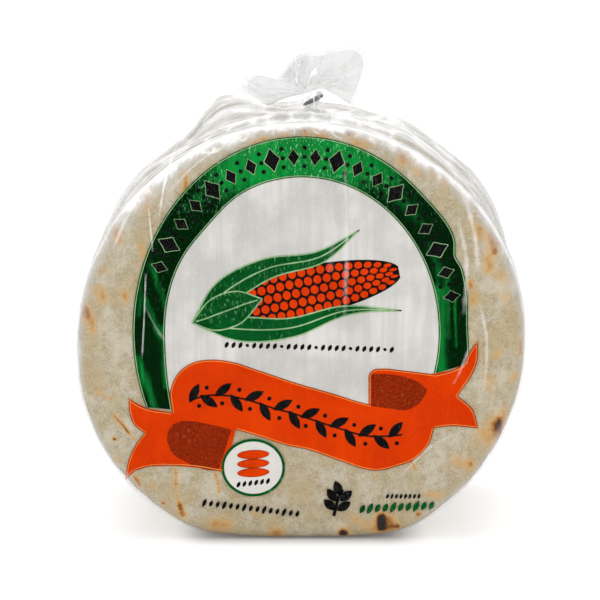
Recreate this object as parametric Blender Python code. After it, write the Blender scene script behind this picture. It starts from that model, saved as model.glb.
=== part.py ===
"""A shop pack of fifteen arepas: flat round corn cakes stacked face to face in one clear film bag.

The pack stands on the rims of the cakes, with the printed face towards -Y. The bag is drawn together
above the stack, closed with a small metal clip, and its tail flares out past the clip.
Units are metres, +Z is up, and the origin is on the floor under the middle of the pack's box.
"""

import math

import bmesh
import bpy
import numpy as np

# Driving dimensions
AREPA_COUNT = 15
AREPA_RADIUS = 0.0626
AREPA_THICKNESS = 0.0070
AXIS_HEIGHT = 0.0570  # of the stack's axis: less than the radius, because the rims rest on a flat
SLUMP_WIDENING = 0.0010  # the standing cakes spread sideways by this much
LEFT_BULGE = {"angle": math.radians(207), "spread": math.radians(26), "height": 0.0017}
FILM_GAP = 0.0004  # between the cakes and the outer face of the film
RIM_ROUND = 0.0034  # rounded edge of a cake
RIM_BAND = (0.3, 0.7)  # between these shares of its thickness a rim is at its widest
GROOVE_DEPTH = 0.0011  # how far the film dips between two rims
FLAT_BLEND = 0.0012  # length over which the round outline runs into the flat base
CAKE_SHIFT = 0.0007  # how far single cakes stand out of line

# Film that stands off the stack, towards the clip
LEFT_EAR = {"angle": math.radians(110), "spread": math.radians(9.5), "height": 0.0089, "depth": 0.010}
LEFT_SHOULDER = {"angle": math.radians(138), "spread": math.radians(12), "height": 0.0022, "depth": -0.010}
RIGHT_EAR = {"angle": math.radians(63), "spread": math.radians(12), "height": 0.0040, "depth": -0.004}
RIGHT_SHOULDER = {"angle": math.radians(39), "spread": math.radians(16), "height": 0.0042, "depth": 0.002}
EAR_LENGTH = 0.026  # half length of an ear along the stack
EAR_FULLNESS = 0.8  # below 1, an ear keeps its height further along the stack

# Neck, clip and tail
NECK = (0.0030, -0.0210, 0.1246)  # centre of the clip
CLIP_TILT = math.radians(25)
NECK_HALF = (0.0017, 0.0014)  # half width along the clip, half thickness along Y
CLIP_GAP = 0.0003
CLIP_WIRE = (0.0007, 0.0011)  # half sizes of the flattened wire, across and along the neck
SKIRT_HALF = 0.0095  # where the gathered film meets the stack
SKIRT_HEIGHT = 0.1186
SKIRT_STEPS = ((0.55, 0.0021), (0.30, 0.0027))  # share of the skirt's width left, and height above its foot
PLEATS, PLEAT_DEPTH = 7, 0.06  # folds round the skirt, and their depth as a share of its width
TAIL_MOUTH = (  # direction from the clip in degrees, and how far the film reaches there
    (-2, 0.0122), (12, 0.0141), (27, 0.0179), (40, 0.0218), (47, 0.0223), (55, 0.0212), (71, 0.0165),
    (92, 0.0147), (128, 0.0130), (141, 0.0110), (149, 0.0078), (153, 0.0160), (159, 0.0190),
    (167, 0.0206), (176, 0.0194), (184, 0.0120),
)
TAIL_RISE = (0.0022, 0.0040)  # the film runs on along the neck before it spreads, at its sides and above
TAIL_SPREAD = 1.2  # how much the neck has widened where the film bends outwards
TAIL_THICKNESS = 0.0042  # half thickness where the tail is fullest
TAIL_RUFFLES = ((9, 0.28, 1.3), (14, 0.15, 0.0))  # folds round the tail, their depth as a share, and turn
TAIL_EDGE = 0.0005  # half thickness at the mouth

# Fineness
OUTLINE_SEGMENTS = 66
FACE_RINGS = (0.14, 0.32, 0.52, 0.72, 0.88)
RIM_STEPS = 3
NECK_SEGMENTS = 72
TAIL_STATIONS = 10
CLIP_SEGMENTS = (36, 10)

STACK_HALF_DEPTH = AREPA_COUNT * AREPA_THICKNESS / 2 + FILM_GAP


def clear_scene():
    for old in list(bpy.data.objects):
        bpy.data.objects.remove(old, do_unlink=True)


def plain_material(name, colour, roughness, metallic=0.0):
    """A Principled material with one colour."""
    material = bpy.data.materials.new(name)
    material.use_nodes = True
    shader = material.node_tree.nodes["Principled BSDF"]
    shader.inputs["Base Color"].default_value = (*colour, 1.0)
    shader.inputs["Roughness"].default_value = roughness
    shader.inputs["Metallic"].default_value = metallic
    return material


def mesh_object(name, points, faces, material):
    """An object from points and faces, with its faces turned outwards and shaded smooth."""
    mesh = bpy.data.meshes.new(name)
    mesh.from_pydata([tuple(p) for p in points], [], [tuple(int(i) for i in f) for f in faces])
    shape = bmesh.new()
    shape.from_mesh(mesh)
    bmesh.ops.recalc_face_normals(shape, faces=shape.faces)
    shape.to_mesh(mesh)
    shape.free()
    mesh.shade_smooth()
    mesh.materials.append(material)
    thing = bpy.data.objects.new(name, mesh)
    bpy.context.scene.collection.objects.link(thing)
    return thing


def bell(distance, spread):
    """A smooth hump: 1 at no distance, falling off over the spread."""
    return np.exp(-((distance / spread) ** 2))


def smooth_min(a, b, width):
    """The smaller of two lengths, with the corner between them rounded over the width."""
    near = np.clip(1 - np.abs(a - b) / width, 0, 1)
    return np.minimum(a, b) - near**2 * width / 4


def outline_radius(angle):
    """From the stack's axis to the film, round the pack: a slumped circle cut off by the flat base."""
    free = AREPA_RADIUS + FILM_GAP + SLUMP_WIDENING * np.cos(2 * angle)
    free = free + LEFT_BULGE["height"] * bell(angle - LEFT_BULGE["angle"], LEFT_BULGE["spread"])
    below = np.maximum(-np.sin(angle), 1e-6)
    return smooth_min(free, AXIS_HEIGHT / below, FLAT_BLEND)


def off_base(angle):
    """0 on the flat base, 1 a little way up the side."""
    height = AXIS_HEIGHT + outline_radius(angle) * np.sin(angle)
    t = np.clip((height - 0.001) / 0.012, 0, 1)
    return t * t * (3 - 2 * t)


def ear_height(angle, depth):
    """How far the film stands off the stack in its ears."""
    height = 0.0
    for ear in (LEFT_EAR, LEFT_SHOULDER, RIGHT_EAR, RIGHT_SHOULDER):
        along = np.clip(1 - np.abs(depth - ear["depth"]) / EAR_LENGTH, 0, 1)
        height = height + ear["height"] * bell(angle - ear["angle"], ear["spread"]) * along**EAR_FULLNESS
    return height


def cake_shift(number, angle):
    """How far one cake stands out of line with the stack, upwards of its resting rim."""
    sideways = CAKE_SHIFT * math.sin(2.4 * number + 0.7)
    taller = CAKE_SHIFT * math.sin(1.7 * number + 2.1)
    return sideways * np.cos(angle) + taller * np.maximum(np.sin(angle), 0)


def stack_rings(angle):
    """Rings of points round the pack, from the front face to the back: (radius, depth) of each."""
    rim = outline_radius(angle)
    rings = [(rim * share, np.full_like(angle, -STACK_HALF_DEPTH)) for share in FACE_RINGS]
    arcs = [math.radians(90 * i / RIM_STEPS) for i in range(RIM_STEPS)]
    for arc in arcs:
        inward = RIM_ROUND * (1 - math.sin(arc))
        rings.append((rim - inward, np.full_like(angle, -STACK_HALF_DEPTH + RIM_ROUND * (1 - math.cos(arc)))))
    first = -AREPA_COUNT * AREPA_THICKNESS / 2
    for number in range(AREPA_COUNT):
        shift = cake_shift(number, angle) * off_base(angle)
        near, far = (first + (number + share) * AREPA_THICKNESS for share in RIM_BAND)
        if number == 0:
            near = -STACK_HALF_DEPTH + RIM_ROUND
        if number == AREPA_COUNT - 1:
            far = STACK_HALF_DEPTH - RIM_ROUND
        for depth in (near, far):
            rings.append((rim + shift + ear_height(angle, depth), np.full_like(angle, depth)))
        if number < AREPA_COUNT - 1:
            depth = first + (number + 1) * AREPA_THICKNESS
            both = (cake_shift(number, angle) + cake_shift(number + 1, angle)) / 2 * off_base(angle)
            dip = GROOVE_DEPTH * off_base(angle)
            rings.append((rim + both - dip + ear_height(angle, depth), np.full_like(angle, depth)))
    for arc in reversed(arcs):
        inward = RIM_ROUND * (1 - math.sin(arc))
        rings.append((rim - inward, np.full_like(angle, STACK_HALF_DEPTH - RIM_ROUND * (1 - math.cos(arc)))))
    rings += [(rim * share, np.full_like(angle, STACK_HALF_DEPTH)) for share in reversed(FACE_RINGS)]
    return rings


def stack_body(material):
    """The pack without its neck: rings joined by quads, closed by a fan of triangles on each face."""
    angle = np.linspace(-math.pi / 2, 1.5 * math.pi, OUTLINE_SEGMENTS, endpoint=False)
    rings = stack_rings(angle)
    points = [
        np.stack([radius * np.cos(angle), depth, AXIS_HEIGHT + radius * np.sin(angle)], axis=1)
        for radius, depth in rings
    ]
    n = OUTLINE_SEGMENTS
    front, back = len(rings) * n, len(rings) * n + 1
    centres = [[0, side * STACK_HALF_DEPTH, AXIS_HEIGHT] for side in (-1, 1)]
    points = np.concatenate(points + [centres])
    points[:, 2] = np.maximum(points[:, 2], 0)
    faces = [
        (r * n + i, r * n + (i + 1) % n, (r + 1) * n + (i + 1) % n, (r + 1) * n + i)
        for r in range(len(rings) - 1)
        for i in range(n)
    ]
    last = (len(rings) - 1) * n
    faces += [(front, (i + 1) % n, i) for i in range(n)]
    faces += [(back, last + i, last + (i + 1) % n) for i in range(n)]
    return mesh_object("bag", points, faces, material)


def neck_loops():
    """Closed loops of the gathered film, from the skirt in the stack up to the clip."""
    turn = np.linspace(0, 2 * math.pi, NECK_SEGMENTS, endpoint=False)
    across = np.array([math.cos(CLIP_TILT), 0, math.sin(CLIP_TILT)])
    clip_loop = (
        np.array(NECK)
        + np.outer(NECK_HALF[0] * np.cos(turn), across)
        + np.outer(-NECK_HALF[1] * np.sin(turn), [0, 1, 0])
    )
    pleat = 1 + PLEAT_DEPTH * np.cos(PLEATS * turn)
    skirt_loop = np.array([0.0, NECK[1], SKIRT_HEIGHT]) + SKIRT_HALF * pleat[:, None] * np.stack(
        [np.cos(turn), -np.sin(turn), np.zeros_like(turn)], axis=1
    )
    along = np.array([-math.sin(CLIP_TILT), 0, math.cos(CLIP_TILT)])
    below = clip_loop - along * (CLIP_WIRE[1] + CLIP_GAP)
    loops = [skirt_loop]
    for share, lift in SKIRT_STEPS:
        ring = below + (skirt_loop - below) * share
        ring[:, 2] = SKIRT_HEIGHT + lift
        loops.append(ring)
    loops.append(below)
    above = clip_loop + along * (CLIP_WIRE[1] + CLIP_GAP)
    return turn, loops, above


def tail_mouth(turn):
    """The edge of the tail as points in the plane of the front, from one side of the mouth to the other."""
    degrees, reach = np.array(TAIL_MOUTH).T
    fan = (degrees[0] + degrees[-1]) / 2 - (degrees[-1] - degrees[0]) / 2 * np.cos(turn)
    length = np.interp(fan, degrees, reach)
    direction = np.stack([np.cos(np.radians(fan)), np.zeros_like(fan), np.sin(np.radians(fan))], axis=1)
    return np.array(NECK) + direction * length[:, None]


def tail_loops(turn, start):
    """Closed loops of the tail, fanning out from the neck to its mouth."""
    mouth = tail_mouth(turn)
    along = np.array([-math.sin(CLIP_TILT), 0, math.cos(CLIP_TILT)])
    rise = TAIL_RISE[0] + (TAIL_RISE[1] - TAIL_RISE[0]) * np.abs(np.sin(turn))
    bend = start + along * rise[:, None] + (start - start.mean(axis=0)) * TAIL_SPREAD
    loops = []
    for station in range(TAIL_STATIONS + 1):
        share = station / TAIL_STATIONS
        ring = start * (1 - share) ** 2 + bend * 2 * share * (1 - share) + mouth * share**2
        swell = math.sin(math.pi * share**0.8)
        ruffle = 1 + share * sum(depth * np.cos(folds * turn + phase) for folds, depth, phase in TAIL_RUFFLES)
        half_thickness = NECK_HALF[1] * (1 - share) + TAIL_THICKNESS * swell * ruffle + TAIL_EDGE * share
        ring[:, 1] = NECK[1] - half_thickness * np.sin(turn)
        loops.append(ring)
    return loops


def neck_and_tail(material):
    """The film above the stack as one closed loft through the clip."""
    turn, loops, above = neck_loops()
    loops += tail_loops(turn, above)
    n = NECK_SEGMENTS
    points = np.concatenate(loops + [loops[0].mean(axis=0, keepdims=True)])
    faces = [
        (r * n + i, r * n + (i + 1) % n, (r + 1) * n + (i + 1) % n, (r + 1) * n + i)
        for r in range(len(loops) - 1)
        for i in range(n)
    ]
    faces += [(len(points) - 1, (i + 1) % n, i) for i in range(n)]
    last = (len(loops) - 1) * n
    for i in range(1, n // 2 - 1):
        faces.append((last + i, last + i + 1, last + n - i - 1, last + n - i))
    faces.append((last, last + 1, last + n - 1))
    faces.append((last + n // 2 - 1, last + n // 2, last + n // 2 + 1))
    return mesh_object("tail", points, faces, material)


def join_solids(body, addition):
    """One closed solid from two that overlap."""
    union = body.modifiers.new("join", "BOOLEAN")
    union.operation = "UNION"
    union.solver = "EXACT"
    union.object = addition
    bpy.context.view_layer.update()
    graph = bpy.context.evaluated_depsgraph_get()
    joined = bpy.data.meshes.new_from_object(body.evaluated_get(graph))
    body.modifiers.clear()
    body.data = joined
    bpy.data.objects.remove(addition, do_unlink=True)
    return body


def clip_ring(material):
    """The metal clip: a flattened wire bent into an oval round the neck."""
    rounds, sides = CLIP_SEGMENTS
    across = np.array([math.cos(CLIP_TILT), 0, math.sin(CLIP_TILT)])
    along = np.array([-math.sin(CLIP_TILT), 0, math.cos(CLIP_TILT)])
    deep = np.array([0, 1, 0])
    path = [half + CLIP_GAP + CLIP_WIRE[0] for half in NECK_HALF]
    points, faces = [], []
    for i in range(rounds):
        turn = 2 * math.pi * i / rounds
        centre = np.array(NECK) + path[0] * math.cos(turn) * across + path[1] * math.sin(turn) * deep
        outwards = math.cos(turn) / path[0] * across + math.sin(turn) / path[1] * deep
        outwards = outwards / np.linalg.norm(outwards)
        for j in range(sides):
            side = 2 * math.pi * j / sides
            points.append(
                centre + CLIP_WIRE[0] * math.cos(side) * outwards + CLIP_WIRE[1] * math.sin(side) * along
            )
            k, m = (i + 1) % rounds, (j + 1) % sides
            faces.append((i * sides + j, k * sides + j, k * sides + m, i * sides + m))
    return mesh_object("clip", points, faces, material)


def centre_on_origin(things):
    """Moves the meshes so that the origin is under the middle of the pack's box, on the floor."""
    corners = np.array([v.co for thing in things for v in thing.data.vertices])
    low, high = corners.min(axis=0), corners.max(axis=0)
    for thing in things:
        for vertex in thing.data.vertices:
            vertex.co.x -= (low[0] + high[0]) / 2
            vertex.co.y -= (low[1] + high[1]) / 2
            vertex.co.z -= low[2]


def main():
    clear_scene()
    film = plain_material("film over corn cakes", (0.74, 0.68, 0.55), 0.25)
    metal = plain_material("clip metal", (0.42, 0.42, 0.43), 0.35, metallic=1.0)
    bag = join_solids(stack_body(film), neck_and_tail(film))
    clip = clip_ring(metal)
    centre_on_origin([bag, clip])


main()
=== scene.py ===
# %% [markdown]
# # A pack of arepas
#
# Fifteen flat corn cakes stand on their rims in a clear bag. The bag has a printed front, is drawn
# together above the cakes, closed with a metal clip, and its tail flares out past the clip.
# The lesson makes the cakes, the film round them, the gathered tail, the print and the clip, in this
# order, because each one lies on the one before. Lengths are metres, +Z is up, the print faces -Y.

import itertools
import math

import bpy
import numpy as np
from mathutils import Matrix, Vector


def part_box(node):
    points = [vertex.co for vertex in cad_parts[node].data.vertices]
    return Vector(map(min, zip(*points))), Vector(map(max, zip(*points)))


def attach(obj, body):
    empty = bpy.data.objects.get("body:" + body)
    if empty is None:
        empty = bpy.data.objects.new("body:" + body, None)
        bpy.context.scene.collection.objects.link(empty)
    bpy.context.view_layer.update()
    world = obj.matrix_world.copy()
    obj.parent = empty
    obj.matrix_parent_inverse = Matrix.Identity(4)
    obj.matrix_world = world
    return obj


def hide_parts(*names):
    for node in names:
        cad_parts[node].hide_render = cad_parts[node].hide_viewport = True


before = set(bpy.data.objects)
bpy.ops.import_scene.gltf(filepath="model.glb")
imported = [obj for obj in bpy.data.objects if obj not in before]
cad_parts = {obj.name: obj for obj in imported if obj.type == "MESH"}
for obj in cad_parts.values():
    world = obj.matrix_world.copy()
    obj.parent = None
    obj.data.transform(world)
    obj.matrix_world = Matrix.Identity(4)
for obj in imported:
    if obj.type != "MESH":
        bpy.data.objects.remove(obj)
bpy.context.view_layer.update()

# %% [markdown]
# ## Sizes
#
# The solids fix the form, so their driving sizes are repeated here. The clip's box says where the neck
# is, and the stack's axis lies a known step to the left of it.

# %% Sizes of the stack, the film and the tail
MM = 0.001
COUNT, RADIUS, THICKNESS = 15, 62.6 * MM, 7.0 * MM
AXIS_HEIGHT = 57.0 * MM
FILM_GAP = 0.4 * MM
RIM_ROUND = 3.4 * MM
GROOVE_DEPTH = 1.1 * MM
CAKE_SHIFT = 0.7 * MM
SLUMP = 1.0 * MM
HALF_DEPTH = COUNT * THICKNESS / 2 + FILM_GAP

clip_low, clip_high = (np.array(corner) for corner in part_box("clip"))
NECK = (clip_low + clip_high) / 2
AXIS_X = NECK[0] - 3.0 * MM
print("neck at", np.round(NECK / MM, 2), "mm, axis at x =", round(AXIS_X / MM, 2), "mm")

# %% [markdown]
# ## Unevenness
#
# Dough and film are never even. Noise made of random numbers at the corners of a grid of cubes, blended
# smoothly in between, gives that. It is worked out for all points at once, and a seed keeps it the same
# in every run.


# %% Helpers for smooth shapes
def bell(distance, spread):
    """1 at no distance, falling off over the spread: e to the power of minus (distance / spread) squared."""
    return np.exp(-((distance / spread) ** 2))


def smooth_step(value, low, high):
    """0 below low, 1 above high, and 3t^2 - 2t^3 in between."""
    t = np.clip((value - low) / (high - low), 0, 1)
    return t * t * (3 - 2 * t)


def smooth_min(a, b, width):
    """The smaller of two lengths, with a round corner of this width where they cross."""
    near = np.clip(1 - np.abs(a - b) / width, 0, 1)
    return np.minimum(a, b) - near**2 * width / 4


def noise(points, size, seed):
    """Smooth values between -1 and 1. Each cube corner has a random value, and a point takes the blend of its
    cube's eight corners, each weighted by 3t^2 - 2t^3 of how near it is along the three axes."""
    place = np.asarray(points) / size
    cell = np.floor(place).astype(np.int64)
    near = place - cell
    near = near * near * (3 - 2 * near)
    total = np.zeros(place.shape[:-1])
    for corner in itertools.product((0, 1), repeat=3):
        key = ((cell + corner) * (73856093, 19349663, 83492791)).sum(axis=-1) + seed * 668265263
        key = (key ^ (key >> 13)) * 1274126177
        value = ((key ^ (key >> 16)) & 0xFFFF) / 32767.5 - 1
        total += value * np.prod(np.where(corner, near, 1 - near), axis=-1)
    return total


def crease(points, size, seed, sharpness=3):
    """Thin ridges where the noise passes through 0: (1 - |noise|) to the power of sharpness, 0 to 1."""
    return (1 - np.abs(noise(points, size, seed))) ** sharpness


# %% A surface from a grid of points
def surface(name, points, material, wrap=False, caps=False, values=None):
    """A smooth mesh from points of shape (rows, columns, 3). Each quad joins two neighbours in a row with
    the two below. wrap joins the last column to the first, and caps closes the first and last row with a
    fan. The faces are turned so that the enclosed volume is positive, or so that an open sheet faces -Y."""
    rows, columns = points.shape[:2]
    index = np.arange(rows * columns).reshape(rows, columns)
    right = np.roll(index, -1, axis=1) if wrap else index[:, 1:]
    left = index if wrap else index[:, :-1]
    quads = np.stack([left[:-1], right[:-1], right[1:], left[1:]], axis=-1).reshape(-1, 4)
    flat = points.reshape(-1, 3)
    faces = [quads]
    if caps:
        ends = np.array([points[0].mean(axis=0), points[-1].mean(axis=0)])
        flat = np.concatenate([flat, ends])
        first, last = np.full(columns, rows * columns), np.full(columns, rows * columns + 1)
        faces.append(np.stack([first, np.roll(index[0], -1), index[0]], axis=-1))
        faces.append(np.stack([last, index[-1], np.roll(index[-1], -1)], axis=-1))
    a, b, c = (flat[quads[:, k]] for k in (0, 1, 2))
    normals = np.cross(b - a, c - a)
    size = (a * normals).sum() if wrap else -normals[:, 1].sum()
    if size < 0:
        faces = [block[:, ::-1] for block in faces]
    mesh = bpy.data.meshes.new(name)
    mesh.from_pydata(flat.tolist(), [], [face for block in faces for face in block.tolist()])
    for key, value in (values or {}).items():
        data = mesh.attributes.new(key, "FLOAT", "POINT").data
        full = np.zeros(len(flat))
        full[: rows * columns] = value.ravel()
        data.foreach_set("value", full.astype(np.float32))
    mesh.shade_smooth()
    mesh.materials.append(material)
    piece = bpy.data.objects.new(name, mesh)
    bpy.context.scene.collection.objects.link(piece)
    return piece


# %% [markdown]
# ## Materials
#
# Every finish is built from nodes. What several of them need, such as the grain of the dough, the
# crinkle of the film and the wear of the ink, is a group that is built once and placed in each.


# %% Small helpers for nodes
def add(tree, kind, inputs=None, **settings):
    """A new node with its settings. Each input is a plain value, or another node's output to link."""
    new = tree.nodes.new(kind)
    for key, value in settings.items():
        setattr(new, key, value)
    for key, value in (inputs or {}).items():
        if isinstance(value, bpy.types.NodeSocket):
            tree.links.new(value, new.inputs[key])
        else:
            new.inputs[key].default_value = value
    return new


def blend(tree, share, first, second):
    """A colour that goes from the first to the second as share goes from 0 to 1."""
    return add(tree, "ShaderNodeMix", {0: share, 6: first, 7: second}, data_type="RGBA").outputs[2]


def maths(tree, operation, *values):
    """One step of arithmetic on numbers."""
    return add(tree, "ShaderNodeMath", dict(enumerate(values)), operation=operation).outputs[0]


def step(tree, value, low, high, to_low=0.0, to_high=1.0):
    """A smooth step of a value from low to high."""
    sockets = {"Value": value, "From Min": low, "From Max": high, "To Min": to_low, "To Max": to_high}
    return add(tree, "ShaderNodeMapRange", sockets, interpolation_type="SMOOTHSTEP").outputs[0]


def cloud(tree, vector, scale, detail=3.0, roughness=0.55):
    """Noise with so many features to the metre, between about 0 and 1."""
    sockets = {"Vector": vector, "Scale": scale, "Detail": detail, "Roughness": roughness}
    return add(tree, "ShaderNodeTexNoise", sockets).outputs["Fac"]


def stretched(tree, vector, scale, turn=(0.0, 0.0, 0.0)):
    """The vector scaled unevenly, so that a pattern on it becomes streaks."""
    return add(tree, "ShaderNodeMapping", {"Vector": vector, "Scale": scale, "Rotation": turn}).outputs[0]


def new_group(name, inputs, outputs):
    """An empty node group with named inputs (name, kind, default) and outputs (name, kind)."""
    tree = bpy.data.node_groups.new(name, "ShaderNodeTree")
    for title, kind, default in inputs:
        socket = tree.interface.new_socket(title, in_out="INPUT", socket_type="NodeSocket" + kind)
        if default is not None:
            socket.default_value = default
    for title, kind in outputs:
        tree.interface.new_socket(title, in_out="OUTPUT", socket_type="NodeSocket" + kind)
    return tree, tree.nodes.new("NodeGroupInput").outputs, tree.nodes.new("NodeGroupOutput").inputs


def new_material(name):
    """An empty node material: its tree, its output node and the Object coordinates."""
    material = bpy.data.materials.new(name)
    material.use_nodes = True
    tree = material.node_tree
    tree.nodes.clear()
    out = tree.nodes.new("ShaderNodeOutputMaterial")
    place = tree.nodes.new("ShaderNodeTexCoord").outputs["Object"]
    return material, tree, out, place


# %% [markdown]
# ### Corn dough
#
# Ground white corn shows pale grits in a creamy ground, with yellowish clouds and a few dark husks.
# Toasting browns the high spots first, so the toast mask that each cake carries is broken up by the
# same grain that lifts the surface.

# %% Corn dough group
tree, given, result = new_group(
    "corn_dough",
    [("Vector", "Vector", None), ("Grain Scale", "Float", 1800.0), ("Cloud Scale", "Float", 120.0)],
    [
        ("Cloud", "Float"), ("Flour", "Float"), ("Mottle", "Float"), ("Grain", "Float"), ("Husk", "Float"),
        ("Height", "Float"),
    ],
)
clouds = cloud(tree, given["Vector"], given["Cloud Scale"], 5.0, 0.6)
coarse = cloud(tree, given["Vector"], maths(tree, "MULTIPLY", given["Grain Scale"], 0.2), 4.0, 0.6)
grain = cloud(tree, given["Vector"], given["Grain Scale"], 2.0, 0.7)
tree.links.new(step(tree, clouds, 0.48, 0.34), result["Flour"])
cells = add(tree, "ShaderNodeTexVoronoi", {"Vector": given["Vector"], "Scale": 310.0}).outputs["Distance"]
husk = maths(tree, "MULTIPLY", step(tree, cells, 0.20, 0.06), step(tree, clouds, 0.52, 0.60))
height = maths(tree, "ADD", maths(tree, "MULTIPLY", grain, 0.45), maths(tree, "MULTIPLY", coarse, 0.8))
tree.links.new(step(tree, clouds, 0.42, 0.64), result["Cloud"])
tree.links.new(step(tree, coarse, 0.36, 0.64), result["Mottle"])
tree.links.new(step(tree, grain, 0.38, 0.66), result["Grain"])
tree.links.new(husk, result["Husk"])
tree.links.new(height, result["Height"])
corn_dough = tree
print("group", corn_dough.name, "has", len(corn_dough.nodes), "nodes")


# %% Corn cake material
def corn_cake_material():
    """Cream with pale and yellow clouds and pale grits, then gold, brown and black by the toast mask."""
    material, tree, out, place = new_material("corn cake")
    dough = add(tree, "ShaderNodeGroup", {}, node_tree=corn_dough)
    tree.links.new(place, dough.inputs["Vector"])
    toast = add(tree, "ShaderNodeAttribute", {}, attribute_name="toast").outputs["Fac"]
    broken = step(tree, cloud(tree, place, 1100.0, 3.0, 0.7), 0.3, 0.7, 0.85, 1.12)
    rough_toast = maths(tree, "MULTIPLY", toast, broken)
    colour = blend(tree, dough.outputs["Mottle"], (0.300, 0.248, 0.155, 1), (0.375, 0.328, 0.228, 1))
    flour = maths(tree, "MULTIPLY", dough.outputs["Flour"], 0.4)
    colour = blend(tree, flour, colour, (0.56, 0.52, 0.435, 1))
    grits = maths(tree, "MULTIPLY", dough.outputs["Grain"], 0.42)
    colour = blend(tree, grits, colour, (0.57, 0.525, 0.43, 1))
    yellow = maths(tree, "MULTIPLY", dough.outputs["Cloud"], 0.45)
    colour = blend(tree, yellow, colour, (0.38, 0.280, 0.125, 1))
    husks = maths(tree, "MULTIPLY", dough.outputs["Husk"], 0.5)
    colour = blend(tree, husks, colour, (0.22, 0.13, 0.055, 1))
    colour = blend(tree, step(tree, rough_toast, 0.02, 0.50, 0.0, 0.8), colour, (0.50, 0.30, 0.105, 1))
    colour = blend(tree, step(tree, rough_toast, 0.34, 0.74), colour, (0.31, 0.125, 0.028, 1))
    colour = blend(tree, step(tree, rough_toast, 0.66, 0.98), colour, (0.075, 0.027, 0.011, 1))
    colour = blend(tree, step(tree, rough_toast, 1.0, 1.2), colour, (0.018, 0.014, 0.012, 1))
    relief = {"Height": dough.outputs["Height"], "Strength": 0.7, "Distance": 0.0005}
    bump = add(tree, "ShaderNodeBump", relief)
    roughness = step(tree, dough.outputs["Grain"], 0.0, 1.0, 0.72, 0.9)
    shader = add(
        tree,
        "ShaderNodeBsdfPrincipled",
        {"Base Color": colour, "Roughness": roughness, "Normal": bump.outputs[0], "Specular IOR Level": 0.2},
    )
    tree.links.new(shader.outputs[0], out.inputs["Surface"])
    return material


corn_cake = corn_cake_material()

# %% [markdown]
# ### Film
#
# Clear film is seen by what it mirrors: bright streaks where it creases, a pale haze where several
# layers lie together, and more haze the more aslant the eye looks through it. It could be thin glass,
# but many layers of that would bend and darken the light. Here a Transparent shader lets the contents
# show as they are, a Glossy one mirrors the more the flatter it is seen, and a thin white veil stands
# for the haze. The bright streaks on creases and bunched film are painted highlights: the veil is
# whiter and stronger there. Light on its way to the cakes passes freely, as it scatters forward in real film.

# %% Film crinkle group
tree, given, result = new_group(
    "film_crinkle",
    [("Vector", "Vector", None), ("Scale", "Float", 160.0), ("Depth", "Float", 0.5)],
    [("Normal", "Vector"), ("Crease Glint", "Float")],
)
broad = cloud(tree, given["Vector"], given["Scale"], 2.0, 0.5)
swirl = add(tree, "ShaderNodeTexNoise", {"Vector": given["Vector"], "Scale": 60.0, "Detail": 1.0})
ends = {0: given["Vector"], 1: swirl.outputs["Color"]}
bent = add(tree, "ShaderNodeVectorMath", ends, operation="ADD")
ridge = add(
    tree,
    "ShaderNodeTexVoronoi",
    {"Vector": bent.outputs[0], "Scale": maths(tree, "MULTIPLY", given["Scale"], 0.9)},
    feature="DISTANCE_TO_EDGE",
).outputs["Distance"]
line = step(tree, ridge, 0.07, 0.0)
fine = cloud(tree, given["Vector"], maths(tree, "MULTIPLY", given["Scale"], 3.2), 2.0, 0.6)
height = maths(tree, "ADD", maths(tree, "MULTIPLY", broad, 0.4), maths(tree, "MULTIPLY", fine, 0.12))
height = maths(tree, "ADD", height, maths(tree, "MULTIPLY", line, 0.12))
bump = add(tree, "ShaderNodeBump", {"Height": height, "Strength": given["Depth"], "Distance": 0.0006})
tree.links.new(bump.outputs[0], result["Normal"])
# Crease Glint marks thin lines on the creases where the film's veil is painted whiter: painted glints.
tree.links.new(maths(tree, "MULTIPLY", line, step(tree, broad, 0.45, 0.62)), result["Crease Glint"])
film_crinkle = tree


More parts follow.
